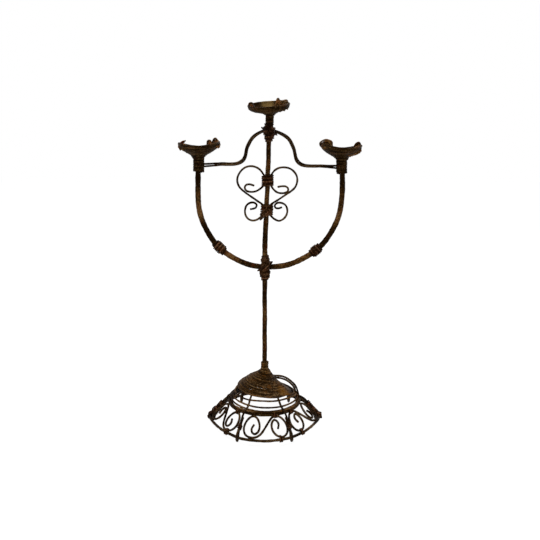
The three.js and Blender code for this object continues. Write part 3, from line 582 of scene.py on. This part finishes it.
cup_ends = {
    "left_loop_outer": [
        [(181.2, 148.5, 16), (179.2, 145.6, 12), (180, 143.6, 8), (182.2, 141.9, 4), (185.4, 140.8, 1)],
        [(181.5, 149, -2), (178.8, 147, 0), (179.4, 144.9, 4), (181.8, 143.9, 8), (184.4, 145, 12),
         (187.6, 147.6, 17)],
        [(180.8, 150, -6), (179.6, 147.8, -5), (181.7, 145.6, -1), (184.6, 145.4, 4), (187.4, 147.3, 9)],
        [(182, 149.5, -10), (182.2, 146.2, -8), (184.4, 144.6, -4), (186.3, 145.9, 0), (189, 148, 4)],
        [(183, 150.5, -14), (183.6, 148, -12), (185.6, 146.6, -8), (188.4, 148, -3)]],
    "left_loop_inner": [
        [(206.6, 149, 5), (207.4, 144.5, 3), (207.6, 141.3, 2), (208.7, 140.4, 1), (210.2, 140.6, 0),
         (211, 142.4, -1), (211, 146, -2)],
        [(209.2, 148.5, -4), (209, 144, -3), (209.4, 141.9, -2), (210.6, 143.6, -3), (212, 147.5, -6)],
        [(210.8, 148, 18), (212.2, 143, 16), (213.7, 139.6, 13), (215.3, 138.3, 10), (217, 139.9, 8),
         (218.8, 142.2, 6), (219.8, 144.8, 7), (218, 148, 9)],
        [(212.2, 148.8, 14), (213.6, 144.2, 12), (215, 141.1, 9), (216.4, 142.2, 7), (217.4, 145, 6),
         (218.6, 147.5, 5)],
        [(209.5, 149, 9), (212.3, 145.8, 7), (215.4, 143.9, 4), (218.5, 145, 0), (219.3, 147.2, -4)],
        [(208.5, 150, -8), (212, 147.2, -8), (215.5, 146, -6), (218.4, 147.3, -4)]],
    "right_loop_inner": [
        [(333.6, 150, 4), (332.2, 146, 2), (331.7, 142, 0), (329.4, 140.5, -3), (325.8, 139.7, -4),
         (322.2, 141, -2), (320.2, 142.9, 2), (320.4, 145.4, 7), (323, 148.4, 12)],
        [(332.8, 149, 1), (331.9, 145, 0), (330.4, 142.4, -2), (327.2, 141.2, -3)],
        [(333.2, 150.5, -2), (330.6, 145, -4), (327.8, 142, -5), (324.6, 142.2, -4), (322.4, 143.9, 0),
         (323, 147.5, 5)],
        [(332, 150.6, -6), (329, 147, -8), (325.8, 144.6, -8), (322.9, 145.2, -5), (322.2, 147.4, 0)],
        [(331.5, 149, 10), (330.4, 144, 8), (327.6, 142.1, 6), (324.2, 143, 5), (321.6, 145, 6)],
        [(331.4, 151.6, -11), (328, 149.2, -12), (324.6, 147.4, -10), (322.9, 148.9, -6)]],
    "right_loop_outer": [
        [(353.6, 150.5, 2), (354.6, 146, 1), (356.8, 143.1, 0), (359, 142.4, -1), (360.4, 144.4, 1),
         (361, 147, 3), (358.6, 150, 6)],
        [(356.6, 150, -6), (358.4, 146, -5), (360.5, 145.3, -3), (361.9, 145.9, -1)],
        [(352.6, 151.4, -11), (354.8, 148.2, -10), (357.6, 146.6, -8), (360, 148.6, -5), (360.8, 151.4, -1)],
        [(353.8, 151, 12), (355.4, 147, 10), (357.6, 144.6, 8), (359.8, 147.6, 6), (361, 151, 5)],
        [(353, 153.4, -6), (356, 151.6, -6), (359.4, 151.6, -4), (360.8, 149.6, 0)],
        [(347.5, 157, 2), (351.5, 155, 4), (356, 154, 4), (360, 152.4, 2)],
        [(348.5, 155.6, -8), (352.5, 153.8, -8), (356.5, 153.6, -6), (360.4, 151.2, -3)]],
    "top_loop_left": [
        [(249.4, 109.6, -3), (248.8, 106, -1), (249.4, 103.6, 0), (251.2, 102.8, 2), (253, 103.7, 4),
         (254, 106, 7)],
        [(250.6, 110, -6), (250.8, 106.4, -4), (252, 104.8, -1), (253.6, 106, 2)],
        [(252.4, 111, -10), (252.2, 107.4, -7), (253.4, 106, -3), (255.6, 107, 1)]],
    "top_loop_right": [
        [(275.2, 110.6, -24), (276, 104, -20), (277.4, 99, -14), (278.6, 98.8, -8), (280, 102.6, -2)],
        [(278.6, 110.8, -22), (279.4, 104.6, -19), (281.4, 101.4, -13), (284, 100.8, -7), (286.4, 100.2, -2),
         (287.4, 101.6, 3), (287.2, 105, 7)],
        [(281.4, 110.8, -20), (282.6, 105.6, -17), (284.8, 102.4, -11), (286.8, 101.8, -5),
         (287.9, 104.4, 0), (287.6, 107.6, 4)],
        [(276.6, 111.4, -25), (277.6, 106, -23), (280, 102, -17), (283.2, 101.6, -10), (285.6, 103.4, -4)],
        [(284, 110.8, -17), (285.4, 106.4, -14), (287, 103.8, -8), (287.9, 106.4, -3), (287.2, 109.2, 1)],
        [(274.6, 109, -26), (276.6, 103.4, -22), (279.2, 100.9, -16), (282.4, 101.2, -9)],
        [(279.6, 111.6, -23), (283.6, 109.6, -20), (286.8, 107.4, -13), (288, 106.2, -6), (287.6, 104, 0)]],
}
inner_loops = ((0.66, 1.6), (0.3, 3))


def seen(places):
    """Places in millimetres, from where they are seen in the frame (across, down) and how far back."""
    return [(eye[0] + (across - middle_across) * (back - eye[1]) / focal_length, back,
             eye[2] - (down - level_down) * (back - eye[1]) / focal_length) for across, down, back in places]


def tucked(wire, scale, back):
    """Another wire inside a loop, nearer to its middle and a little further back."""
    middle = np.mean(wire, axis=0)
    shrink, shift = (scale, scale, 0.8), (0, 0.3, back)
    return [tuple(middle + (np.array(place) - middle) * shrink + shift) for place in wire]


for i, (name, loops) in enumerate(cup_ends.items()):
    wires = loops + [tucked(loop, *inner) for loop in loops for inner in inner_loops]
    make_piece(f"cup_{name}_wires", [curve(seen(wire), 1.0) for wire in wires], loop_wire, loop_iron,
               "wire_iron", [f"cup_{name}"], seed=30 + i, sides=10, bend=0.12, dent=0.08)


# ---------------------------------------------------------------- lashings
# Binding wire, wound tight in touching turns: round the stem above and below the hub, slanting over the
# crossings of the hub and the bracket, and round the hoop. It lies two or three layers thick.
binding_iron = iron("binding_iron", skin=srgb(22, 9, 2), patch=srgb(62, 38, 18), rust=srgb(66, 28, 10),
                    rubbed_and_highlight=srgb(130, 100, 76), rusting=0.6, rubbing_and_highlights=0.5, rough=0.5)
binding_wire = 2.3
binding_pitch = 2.35
turn_steps = 36
front = math.pi / 2
short_tails = (0.5, 0.5)


def lashing(origin, axes, rods, turns, start=0.0, off=binding_wire / 2, slant=1.0, pitch=binding_pitch,
            tails=(2, 2)):
    """Turns of wire round rods that advance along the third axis, and run out in two straight tails.

    The rods are a list, or a function that gives the list for a distance along that axis. Off is how far the
    middle of the wire lies from the rods.
    """
    origin, u, v, w = (np.array(k, float) for k in (origin, *axes))
    places = []
    for i in range(int(turns * turn_steps) + 1):
        turn = i / turn_steps - turns / 2
        here = rods(turn * pitch) if callable(rods) else rods
        pu, pv = taut(here, off, start + turn * 2 * math.pi, slant)
        places.append(origin + u * pu + v * pv + w * turn * pitch)
    first = places[0] - places[1]
    last = places[-1] - places[-2]
    places.insert(0, places[0] + first / np.linalg.norm(first) * tails[0])
    places.append(places[-1] + last / np.linalg.norm(last) * tails[1])
    return even(places, 0.9)


def round_stem(middle, length, start, layer=0.0, tails=(1, 1)):
    lean = np.array([stem_x(middle + 5) - stem_x(middle - 5), 0, 10])
    axes = (1, 0, 0), (0, 1, 0), lean / np.linalg.norm(lean)
    return lashing((stem_x(middle), 0, middle), axes, [(0, 0, stem_radius)], length / binding_pitch, start,
                   binding_wire / 2 + layer, tails=tails)


def over_crossing(height, sign, level_rods, layer, pitch):
    """Four turns over the stem and what crosses it, which rise to the right (1) or to the left (-1)."""
    diagonal = math.sqrt(0.5)
    axes = (diagonal, 0, sign * diagonal), (0, 1, 0), (-sign * diagonal, 0, diagonal)

    def rods(along):
        level = [(sign * (z / diagonal - along), y, radius) for y, z, radius in level_rods]
        return [(sign * along, 0, stem_radius), *level]

    return lashing((stem_x(height), 0, height), axes, rods, 4, front, binding_wire / 2 + layer, diagonal,
                   pitch, short_tails)


hub = hub_height
peak = bracket_peak
hub_rods = [(hoop_y, 0, hoop_rod_radius)]
peak_rods = [(bracket_y, 1.4, bracket_wire / 2), (bracket_y, -1.4, bracket_wire / 2)]
lashings = {
    "hub_lashing_upper": [round_stem(hub + 14.1, 9.5, 0.4), round_stem(hub + 12.3, 5, 2.0, 1.2)],
    "hub_lashing_cross": [over_crossing(hub + 0.5, 1, hub_rods, 1.6, 2.3),
                          over_crossing(hub + 0.5, 1, hub_rods, 0, 2.3),
                          round_stem(hub + 0.3, 18, 1.0, 0.2),
                          round_stem(hub - 0.7, 12, 2.0, 1.2)],
    "hub_lashing_lower": [round_stem(hub - 12.3, 15, 2.6, 0, (1, 3)),
                          round_stem(hub - 10.3, 11.5, 0.6, 2),
                          round_stem(hub - 7.7, 5, 2.6, 2.8, (1, 3))],
    "top_lashing_rising": [over_crossing(peak, 1, peak_rods, 0.3, 2.4), round_stem(peak, 15, 1.3, 0)],
    "top_lashing_falling": [over_crossing(peak - 0.4, -1, peak_rods, 2.0, 2.4),
                            round_stem(peak + 0.2, 12, 0.4, 3.2)],
    "top_lashing_lower": [round_stem(peak - 13, 9, 0.9), round_stem(peak - 9, 7, 0.3, 1.7)],
}
for i, (name, routes) in enumerate(lashings.items()):
    make_piece(f"{name}_wire", routes, binding_wire, binding_iron, "binding_iron", [name], seed=50 + i,
               sides=10, bend=0.15, dent=0.08)

wrap_wire = 2.6
wrap_layer = 1.5
arm_wraps = {"left": (226, 8, 2.45), "right": (-50.6, 7.4, 2.5)}


def round_hoop(degrees, turns, pitch, layer=0.0):
    places = []
    for i in range(int(turns * turn_steps) + 1):
        turn = i / turn_steps - turns / 2
        out, back = taut([(0, 0, hoop_rod_radius)], wrap_wire / 2 + layer, turn * 2 * math.pi)
        advance = math.degrees(turn * pitch / (hoop_radius - hoop_rod_radius))
        places.append(hoop_place(degrees + advance, out, back))
    return even(places, 0.9)


for i, (side, (degrees, turns, pitch)) in enumerate(arm_wraps.items()):
    layers = [round_hoop(degrees, turns, pitch), round_hoop(degrees, turns - 3, pitch, wrap_layer)]
    make_piece(f"arm_wrap_{side}_wire", layers, wrap_wire, binding_iron, "binding_iron",
               [f"arm_wrap_{side}"], seed=60 + i, sides=10, bend=0.15, dent=0.08)


# ---------------------------------------------------------------- hearts
# Two scrolls of thinner wire, one each side of the stem, that make a heart above and two curls below.
# Binding wire holds them to the stem twice, the lower time crosswise.
scroll_wire = 3.3
heart_upper = 382
heart_lower = 334.5
heart_seat = stem_radius + scroll_wire / 2
heart_left = [
    [(254, 185.7), (250, 184.4), (246.3, 184.9), (244.8, 187.5), (246.2, 190.5), (250.5, 191.9),
     (256, 191.3), (260.4, 188.6)],
    [(262.6, 173.2), (260, 169.8), (255.5, 167), (250.5, 166.2), (245, 167.6), (240.4, 171.6), (237.6, 177),
     (237.4, 182), (239.4, 187), (243.6, 191.2), (250, 195.8), (257, 200.7)],
    [(261.4, 216.3), (257.5, 219.4), (252.5, 220.5), (248, 218.6), (245.4, 214.5), (245.1, 209.5),
     (246.9, 205), (250.5, 202.7), (254.3, 202.7), (256.7, 204.8), (255.8, 207.6), (253, 208.8),
     (250.3, 209.2)]]
heart_right = [
    [(277.8, 186.9), (282, 186.2), (286.2, 186.6), (288.2, 188.8), (287.5, 191.6), (283.5, 193.1),
     (278, 192.6), (274, 189.8)],
    [(272, 173.8), (274.6, 170.4), (279, 167.9), (284, 167.3), (289.5, 168.4), (294, 171.7), (296.8, 176.5),
     (297.1, 182), (295, 187.4), (291, 191.2), (285, 195.2), (279, 199.3)],
    [(271, 216), (274, 218.8), (279, 220.8), (283.5, 218.8), (286.6, 214.5), (287.3, 209.5), (285.5, 205.1),
     (281.5, 202.9), (277.3, 203), (274.9, 205.2), (275.4, 207.6), (278.5, 208.3), (281.8, 207.2)]]


def along_stem(side, middle, half):
    """Three places beside the stem, where a scroll lies against it."""
    return [(stem_x(z) + side * heart_seat, 0, z) for z in (middle + half, middle, middle - half)]


def heart_route(side, parts):
    """A curl, then the heart's lobe, then the lower curl. It touches the stem before and after the lobe."""
    curl, lobe, foot = (seen([(*place, 0) for place in part]) for part in parts)
    rising = along_stem(side, heart_upper, 7)[::-1]
    falling = along_stem(side, heart_lower, 7.5)
    return curve(curl + rising + lobe + falling + foot, 1.2)


for name, side, parts in (("left", -1, heart_left), ("right", 1, heart_right)):
    make_piece(f"heart_{name}", [heart_route(side, parts)], scroll_wire, wire_iron, "wire_iron",
               [f"heart_scroll_{name}"], seed=70 + side, sides=12, bend=0.15, dent=0.06)


def heart_binding(middle, turns, slanting, layer=0.0, tails=(2, 2)):
    """Turns round the stem and the two scrolls beside it, level or slanting."""
    slant = math.sqrt(0.5) if slanting else 1
    u, w = ((slant, 0, slant), (-slant, 0, slant)) if slanting else ((1, 0, 0), (0, 0, 1))

    def rods(along):
        aside = along if slanting else 0
        sides = [(aside + side * heart_seat / slant, 0, scroll_wire / 2) for side in (-1, 1)]
        return [(aside, 0, stem_radius), *sides]

    return lashing((stem_x(middle), 0, middle), (u, (0, 1, 0), w), rods, turns, front, 1.25 + layer, slant,
                   2.9, tails)


upper_binding = [heart_binding(heart_upper - 0.6, 6, False, 0.1, (2, 4))]
lower_binding = [heart_binding(heart_lower - 2.4, 3, True, 1.2, (1, 1)),
                 heart_binding(heart_lower + 5.2, 2.6, False),
                 heart_binding(heart_lower - 3, 3.4, False, 0.6, short_tails)]
for i, (name, routes, thick) in enumerate((("upper", upper_binding, 2.7), ("lower", lower_binding, 2.5))):
    make_piece(f"heart_binding_{name}_wire", routes, thick, binding_iron, "binding_iron",
               [f"heart_binding_{name}"], seed=80 + i, sides=10, bend=0.2, dent=0.08)


# ---------------------------------------------------------------- base coil
# One wire: close turns round the stem's foot, then touching turns out along a cone that slants to the right,
# then loose turns down to the upper ring. Two loose strands leave the cone at its right and run to it.
cone_iron = iron("cone_iron", skin=srgb(30, 17, 4), patch=srgb(72, 49, 20), rust=srgb(88, 50, 9),
                 rubbed_and_highlight=srgb(150, 126, 92), rusting=0.6, rubbing_and_highlights=0.45, rough=0.48,
                 stains_and_light=[((28, -25, 62), 14, srgb(92, 58, 2))])
base_x = -7.7
upper_ring_radius = 57.6
upper_ring_height = 34.3
foot_ring_radius = 86.9
foot_ring_height = 10
coil_wire = 2.7
collar_top = 94.5
collar_turns = 4.5
cone_turns = 20.5
cone_profile = [(4.8, 83.5), (12, 75.5), (28, 65.5), (42.5, 54.6)]
loose_places = [
    (0, 42.5, 54.6), (0.15, 43, 54), (0.28, 46.6, 44), (0.45, 46.6, 45), (0.65, 46, 50), (0.75, 47, 49.8),
    (1, 45.8, 50.8), (1.15, 46.8, 49), (1.28, 50, 42), (1.45, 50, 42.5), (1.65, 49.6, 45.8),
    (1.75, 50.4, 45.6), (2, 49.6, 42), (2.28, 52, 39.4), (2.55, 53, 41), (2.75, 53.4, 42), (3, 53, 38.2),
    (3.28, 54, 37.8), (3.55, 55.6, 38.6), (3.75, 56, 38.8), (4, 55.4, 37.6), (4.2, 55.6, 37.4)]
cone_tilt = 3.4
cone_sunk = 8.5
sunk_azimuth = 0.95
pull_radius = 87.6
pull_angles = [0, 24, 38, 56, 68, 80, 88, 90]
pull_depths = [0, 1, 4.2, 5.2, 4.4, 1.6, 0.1, 0]


def ramp(value, start, end):
    """0 at start, 1 at end, and even between them."""
    return min(max((value - start) / (end - start), 0), 1)


def pull_in(azimuth):
    """How far the foot ring is pulled in, beside its corners at the far left and right."""
    around = abs(math.degrees(math.remainder(azimuth, 2 * math.pi)))
    return np.interp(min(around, 180 - around), pull_angles, pull_depths)


def on_base(azimuth, radius, z):
    """A place round the base's axis. The azimuth is 0 at the front and a quarter turn at the right."""
    radius -= pull_in(azimuth) * ramp(z, upper_ring_height, foot_ring_height) * radius / pull_radius
    return (base_x + radius * math.sin(azimuth), -radius * math.cos(azimuth), z)


def cone_slant(radius, azimuth):
    """How far the cone is pushed up at the left and down at the right, and sunk behind at the right."""
    tilt = cone_tilt * ramp(radius, 6, 20) * math.sin(azimuth)
    sunk = cone_sunk * max(math.sin(azimuth - sunk_azimuth), 0) * math.sin(math.pi / 2 * ramp(radius, 8, 34))
    return -(tilt + sunk) * ramp(radius, 47, 42)


def coil_route():
    """The collar's turns from the top down, then the cone's and the loose ones (turn, radius, height)."""
    rng = np.random.default_rng(90)
    sway = rng.uniform(0, 2 * math.pi, 4)
    loose_turn, loose_radius, loose_z = np.array(loose_places).T
    collar_radius, collar_end = cone_profile[0]
    close = collar_turns + cone_turns
    steps = 48
    places = []
    for i in range(int((close + loose_turn[-1]) * steps) + 1):
        turn = i / steps
        azimuth = turn * 2 * math.pi
        if turn <= collar_turns:
            radius, z = collar_radius, collar_top - (collar_top - collar_end) * turn / collar_turns
        elif turn <= close:
            radius, z = on_profile(cone_profile, (turn - collar_turns) / cone_turns)
        else:
            radius, z = (np.interp(turn - close, loose_turn, k) for k in (loose_radius, loose_z))
        rough = ramp(turn, 6, 22)
        outwards = 0.4 * math.sin(azimuth * 0.31 + sway[0]) + 0.3 * math.sin(azimuth * 1.13 + sway[1])
        upwards = 0.3 * math.sin(azimuth * 0.43 + sway[2]) + 0.3 * math.sin(azimuth * 0.91 + sway[3])
        radius += rough * outwards
        z += rough * upwards
        places.append(on_base(azimuth, radius, z + cone_slant(radius, azimuth)))
    return even(places, 1.1)


make_piece("base_coil_wire", [coil_route()], coil_wire, cone_iron, "wire_iron", ["base_coil"], seed=91,
           sides=10, bend=0.25, dent=0.07)

strand_wire = scroll_wire - 0.3
strands = {
    "outer": [(268.5, 375.6, 12), (272, 375.4, 13), (277, 375.6, 13), (282, 376.3, 12), (287, 378.2, 11),
              (291.5, 381.3, 10), (295, 385, 9), (297.2, 389.4, 7), (298.2, 393.6, 5), (299.2, 397.6, 3)],
    "inner": [(269, 378, 9), (272.6, 377.2, 11), (276.8, 377.5, 11), (281.5, 378.2, 10), (286.1, 380, 9),
              (290.2, 382.8, 8), (293.3, 386.2, 7), (295.3, 390.2, 5), (296.4, 394, 4), (297.2, 398.4, 2)],
}
for i, (name, places) in enumerate(strands.items()):
    make_piece(f"base_{name}_strand", [curve(seen(places), 1.1)], strand_wire, wire_iron, "wire_iron",
               [f"base_strand_{name}"], seed=92 + i, sides=10, bend=0.25, dent=0.06)


# ---------------------------------------------------------------- rings
# Thicker wire: the upper ring is wound twice, one turn inside the other, and the foot ring is closed. The
# foot ring was pulled in by hand, so that it has a corner at the far left and the far right.
ring_wire = 4
foot_ring_thick = ring_wire - 0.1
ring_step = 3.6
ring_sway = 0.5


def ring_radius(azimuth):
    """The radius of the upper ring's outer turn, which starts behind and winds inwards."""
    return upper_ring_radius - ring_step * (((azimuth - math.pi) / (2 * math.pi)) % 1)


upper_ring_route = []
for i in range(121):
    turn = i / 60
    radius, z = upper_ring_radius - ring_step * turn, upper_ring_height + ring_sway * math.sin(i * 0.13)
    upper_ring_route.append(on_base(math.pi + 2 * math.pi * turn, radius, z))
# The upper ring takes the darker cup iron as painted shade, for the shadow that the cone casts on it.
make_piece("upper_ring_wire", [even(upper_ring_route, 1.5)], ring_wire, cup_iron, "wire_iron",
           ["upper_ring"], seed=100, sides=14, bend=0.25, dent=0.06)
foot_ring_route = [on_base(2 * math.pi * i / 360, foot_ring_radius, foot_ring_height) for i in range(361)]
make_piece("foot_ring_wire", [foot_ring_route], foot_ring_thick, wire_iron, "wire_iron", ["foot_ring"],
           seed=101, sides=14, bend=0.2, dent=0.06, closed=True)


# ---------------------------------------------------------------- legs
# Six hairpins of wire. Each lies under the cone, passes over the upper ring, runs down inside the foot ring,
# turns up again at the table and is bound to itself. At the ring's two corners the binding is longer and
# goes on round the foot ring.
leg_wire = 3.1
leg_pair = 2.3
over_ring = upper_ring_height + 4.35
leg_top = np.array([63.5, over_ring - 3.9])
leg_foot = np.array([84.4, foot_ring_height])
leg_way = (leg_foot - leg_top) / np.linalg.norm(leg_foot - leg_top)
foot_radius = 82.3
foot_height = leg_wire / 2 + 0.15
foot_bend = 4.6
corner_legs = (1, 4)
corner_wire = 1.4


def beside_leg(share, inside=0):
    """A place on the leg's straight stretch, or beside it on the inside."""
    return tuple(leg_top + (leg_foot - leg_top) * share + np.array([leg_way[1], -leg_way[0]]) * inside)


def leg_route(azimuth):
    """Out under the cone and over the ring, down to the table, and up again beside itself."""
    hidden = [(20.5, 67), (36, 56.2), (43, 50.5), (50.3, 41.6)]
    route = [(radius, z + cone_slant(radius, azimuth)) for radius, z in hidden]
    route += [(upper_ring_radius + 0.4, over_ring), tuple(leg_top), beside_leg(0.35), beside_leg(0.7),
              tuple(leg_foot), (leg_foot[0] + 0.2, foot_bend), (foot_radius, foot_height),
              (foot_radius - 2.4, foot_bend), beside_leg(0.86, 1.7 * leg_pair),
              beside_leg(0.7, 1.05 * leg_pair), beside_leg(0.4, 1.05 * leg_pair),
              beside_leg(0.12, 1.2 * leg_pair)]
    return curve([on_base(azimuth, radius, z) for radius, z in route], 1.1)


def leg_bindings(azimuth, turns, thick, corner):
    """Turns down the leg's two wires, and in a corner also along the foot ring."""
    up = np.array([0, 0, 1])
    outward = np.array([math.sin(azimuth), -math.cos(azimuth), 0])
    across = np.cross(up, outward)
    down = outward * leg_way[0] + up * leg_way[1]
    middle = on_base(azimuth, *beside_leg(0.56, leg_pair / 2))
    pair = [(-leg_pair / 2, 0, leg_wire / 2), (leg_pair / 2, 0, leg_wire / 2)]
    bindings = [lashing(middle, (np.cross(down, across), across, down), pair, turns, off=thick / 2,
                        pitch=thick + 0.4, tails=short_tails)]
    if corner:
        middle = on_base(azimuth, foot_ring_radius - 0.4, foot_ring_height - 0.4)
        axes = (outward, up, across)
        ring_and_leg = [(0, 0, ring_wire / 2), (-4.5, 2.5, leg_wire / 2)]
        bindings.append(lashing(middle, axes, ring_and_leg, 4, off=corner_wire / 2, pitch=2.9))
    return bindings


for i in range(6):
    azimuth = (i + 0.5) * math.pi / 3
    corner = i in corner_legs
    turns, thick = (8, 2.7) if corner else (3, 1.9)
    make_piece(f"leg_{i + 1}_wire", [leg_route(azimuth)], leg_wire, wire_iron, "wire_iron", [f"leg_{i + 1}"],
               seed=110 + i, sides=12, bend=0.0, dent=0.05)
    make_piece(f"foot_binding_{i + 1}_wire", leg_bindings(azimuth, turns, thick, corner), thick,
               binding_iron, "binding_iron", [f"foot_binding_{i + 1}"], seed=120 + i, sides=10, bend=0.1,
               dent=0.08)


# ---------------------------------------------------------------- scrolls
# One S scroll in each bay between two legs, on the slope between the two rings and touching both, turned
# over from bay to bay. Ties of binding wire hold one of its curls to both rings.
ring_seat = 3.0
scroll_foot = (foot_ring_radius - 0.75 * ring_seat, foot_ring_height + 0.8 * ring_seat)
scroll_half = [
    (4.5, 0.58), (8.5, 0.9), (13.5, 1), (19, 0.8), (22.3, 0.32), (22.7, -0.2), (20.3, -0.72), (15.5, -0.98),
    (10.6, -0.83), (7.3, -0.42), (6.3, 0.06), (7.5, 0.44), (10.3, 0.64), (13, 0.52), (14.2, 0.2),
    (12.6, -0.18)]
scroll_width = 1.42
scroll_shifts = (1.9, 0, 0, 0, 0, 0)
tie_wire = 1.7
tie_sides = (1, -1, 1, -1, 1, 1)
tie_reach = 14.5 * scroll_width


def scroll_top(bay):
    """Where a bay's scroll touches the upper ring: its distance from the axis and its height."""
    return (ring_radius(bay) + 0.95 * ring_seat, upper_ring_height - 0.45 * ring_seat)


def scroll_route(bay, hand, shift):
    """The S from its half (millimetres along, share of the slope up), which is turned over for the rest."""
    top, foot = np.array(scroll_top(bay)), np.array(scroll_foot)
    middle = (top[0] + foot[0]) / 2
    flat = [(-along, -up) for along, up in scroll_half[::-1]] + scroll_half
    places = []
    for along, up in flat:
        radius, z = top + (foot - top) * (0.5 - up / 2)
        places.append(on_base(bay + (hand * along * scroll_width + shift) / middle, radius, z))
    return curve(places, 1.1)


def tie_route(azimuth, held):
    """Two turns round what is held, which is given as (radius, height, thickness)."""
    up = np.array([0, 0, 1])
    outward = np.array([math.sin(azimuth), -math.cos(azimuth), 0])
    radius, z, _ = held[0]
    rods = [(out - radius, height - z, thick / 2) for out, height, thick in held]
    return lashing(on_base(azimuth, radius, z), (outward, up, np.cross(up, outward)), rods, 2.25, off=0.75,
                   pitch=1.9, tails=short_tails)


for i in range(6):
    bay = i * math.pi / 3
    hand = 1 if i % 2 == 0 else -1
    make_piece(f"scroll_{i + 1}_wire", [scroll_route(bay, hand, scroll_shifts[i])], scroll_wire, wire_iron,
               "wire_iron", [f"scroll_{i + 1}"], seed=130 + i, sides=12, bend=0.15, dent=0.06)
    top, top_height = scroll_top(bay)
    tied = bay + tie_sides[i] * tie_reach / ((top + scroll_foot[0]) / 2)
    ring = ring_radius(tied)
    both_ends = {
        "foot": [(foot_ring_radius, foot_ring_height, ring_wire), (*scroll_foot, scroll_wire)],
        "upper": [(ring, upper_ring_height, ring_wire), (ring - ring_step, upper_ring_height, ring_wire),
                  (top, top_height, scroll_wire)],
    }
    for end, held in both_ends.items():
        make_piece(f"tie_{end}_{i + 1}_wire", [tie_route(tied, held)], tie_wire, binding_iron,
                   "binding_iron", [f"tie_{end}_{i + 1}"], seed=140 + i, sides=10, bend=0.1, dent=0.08)
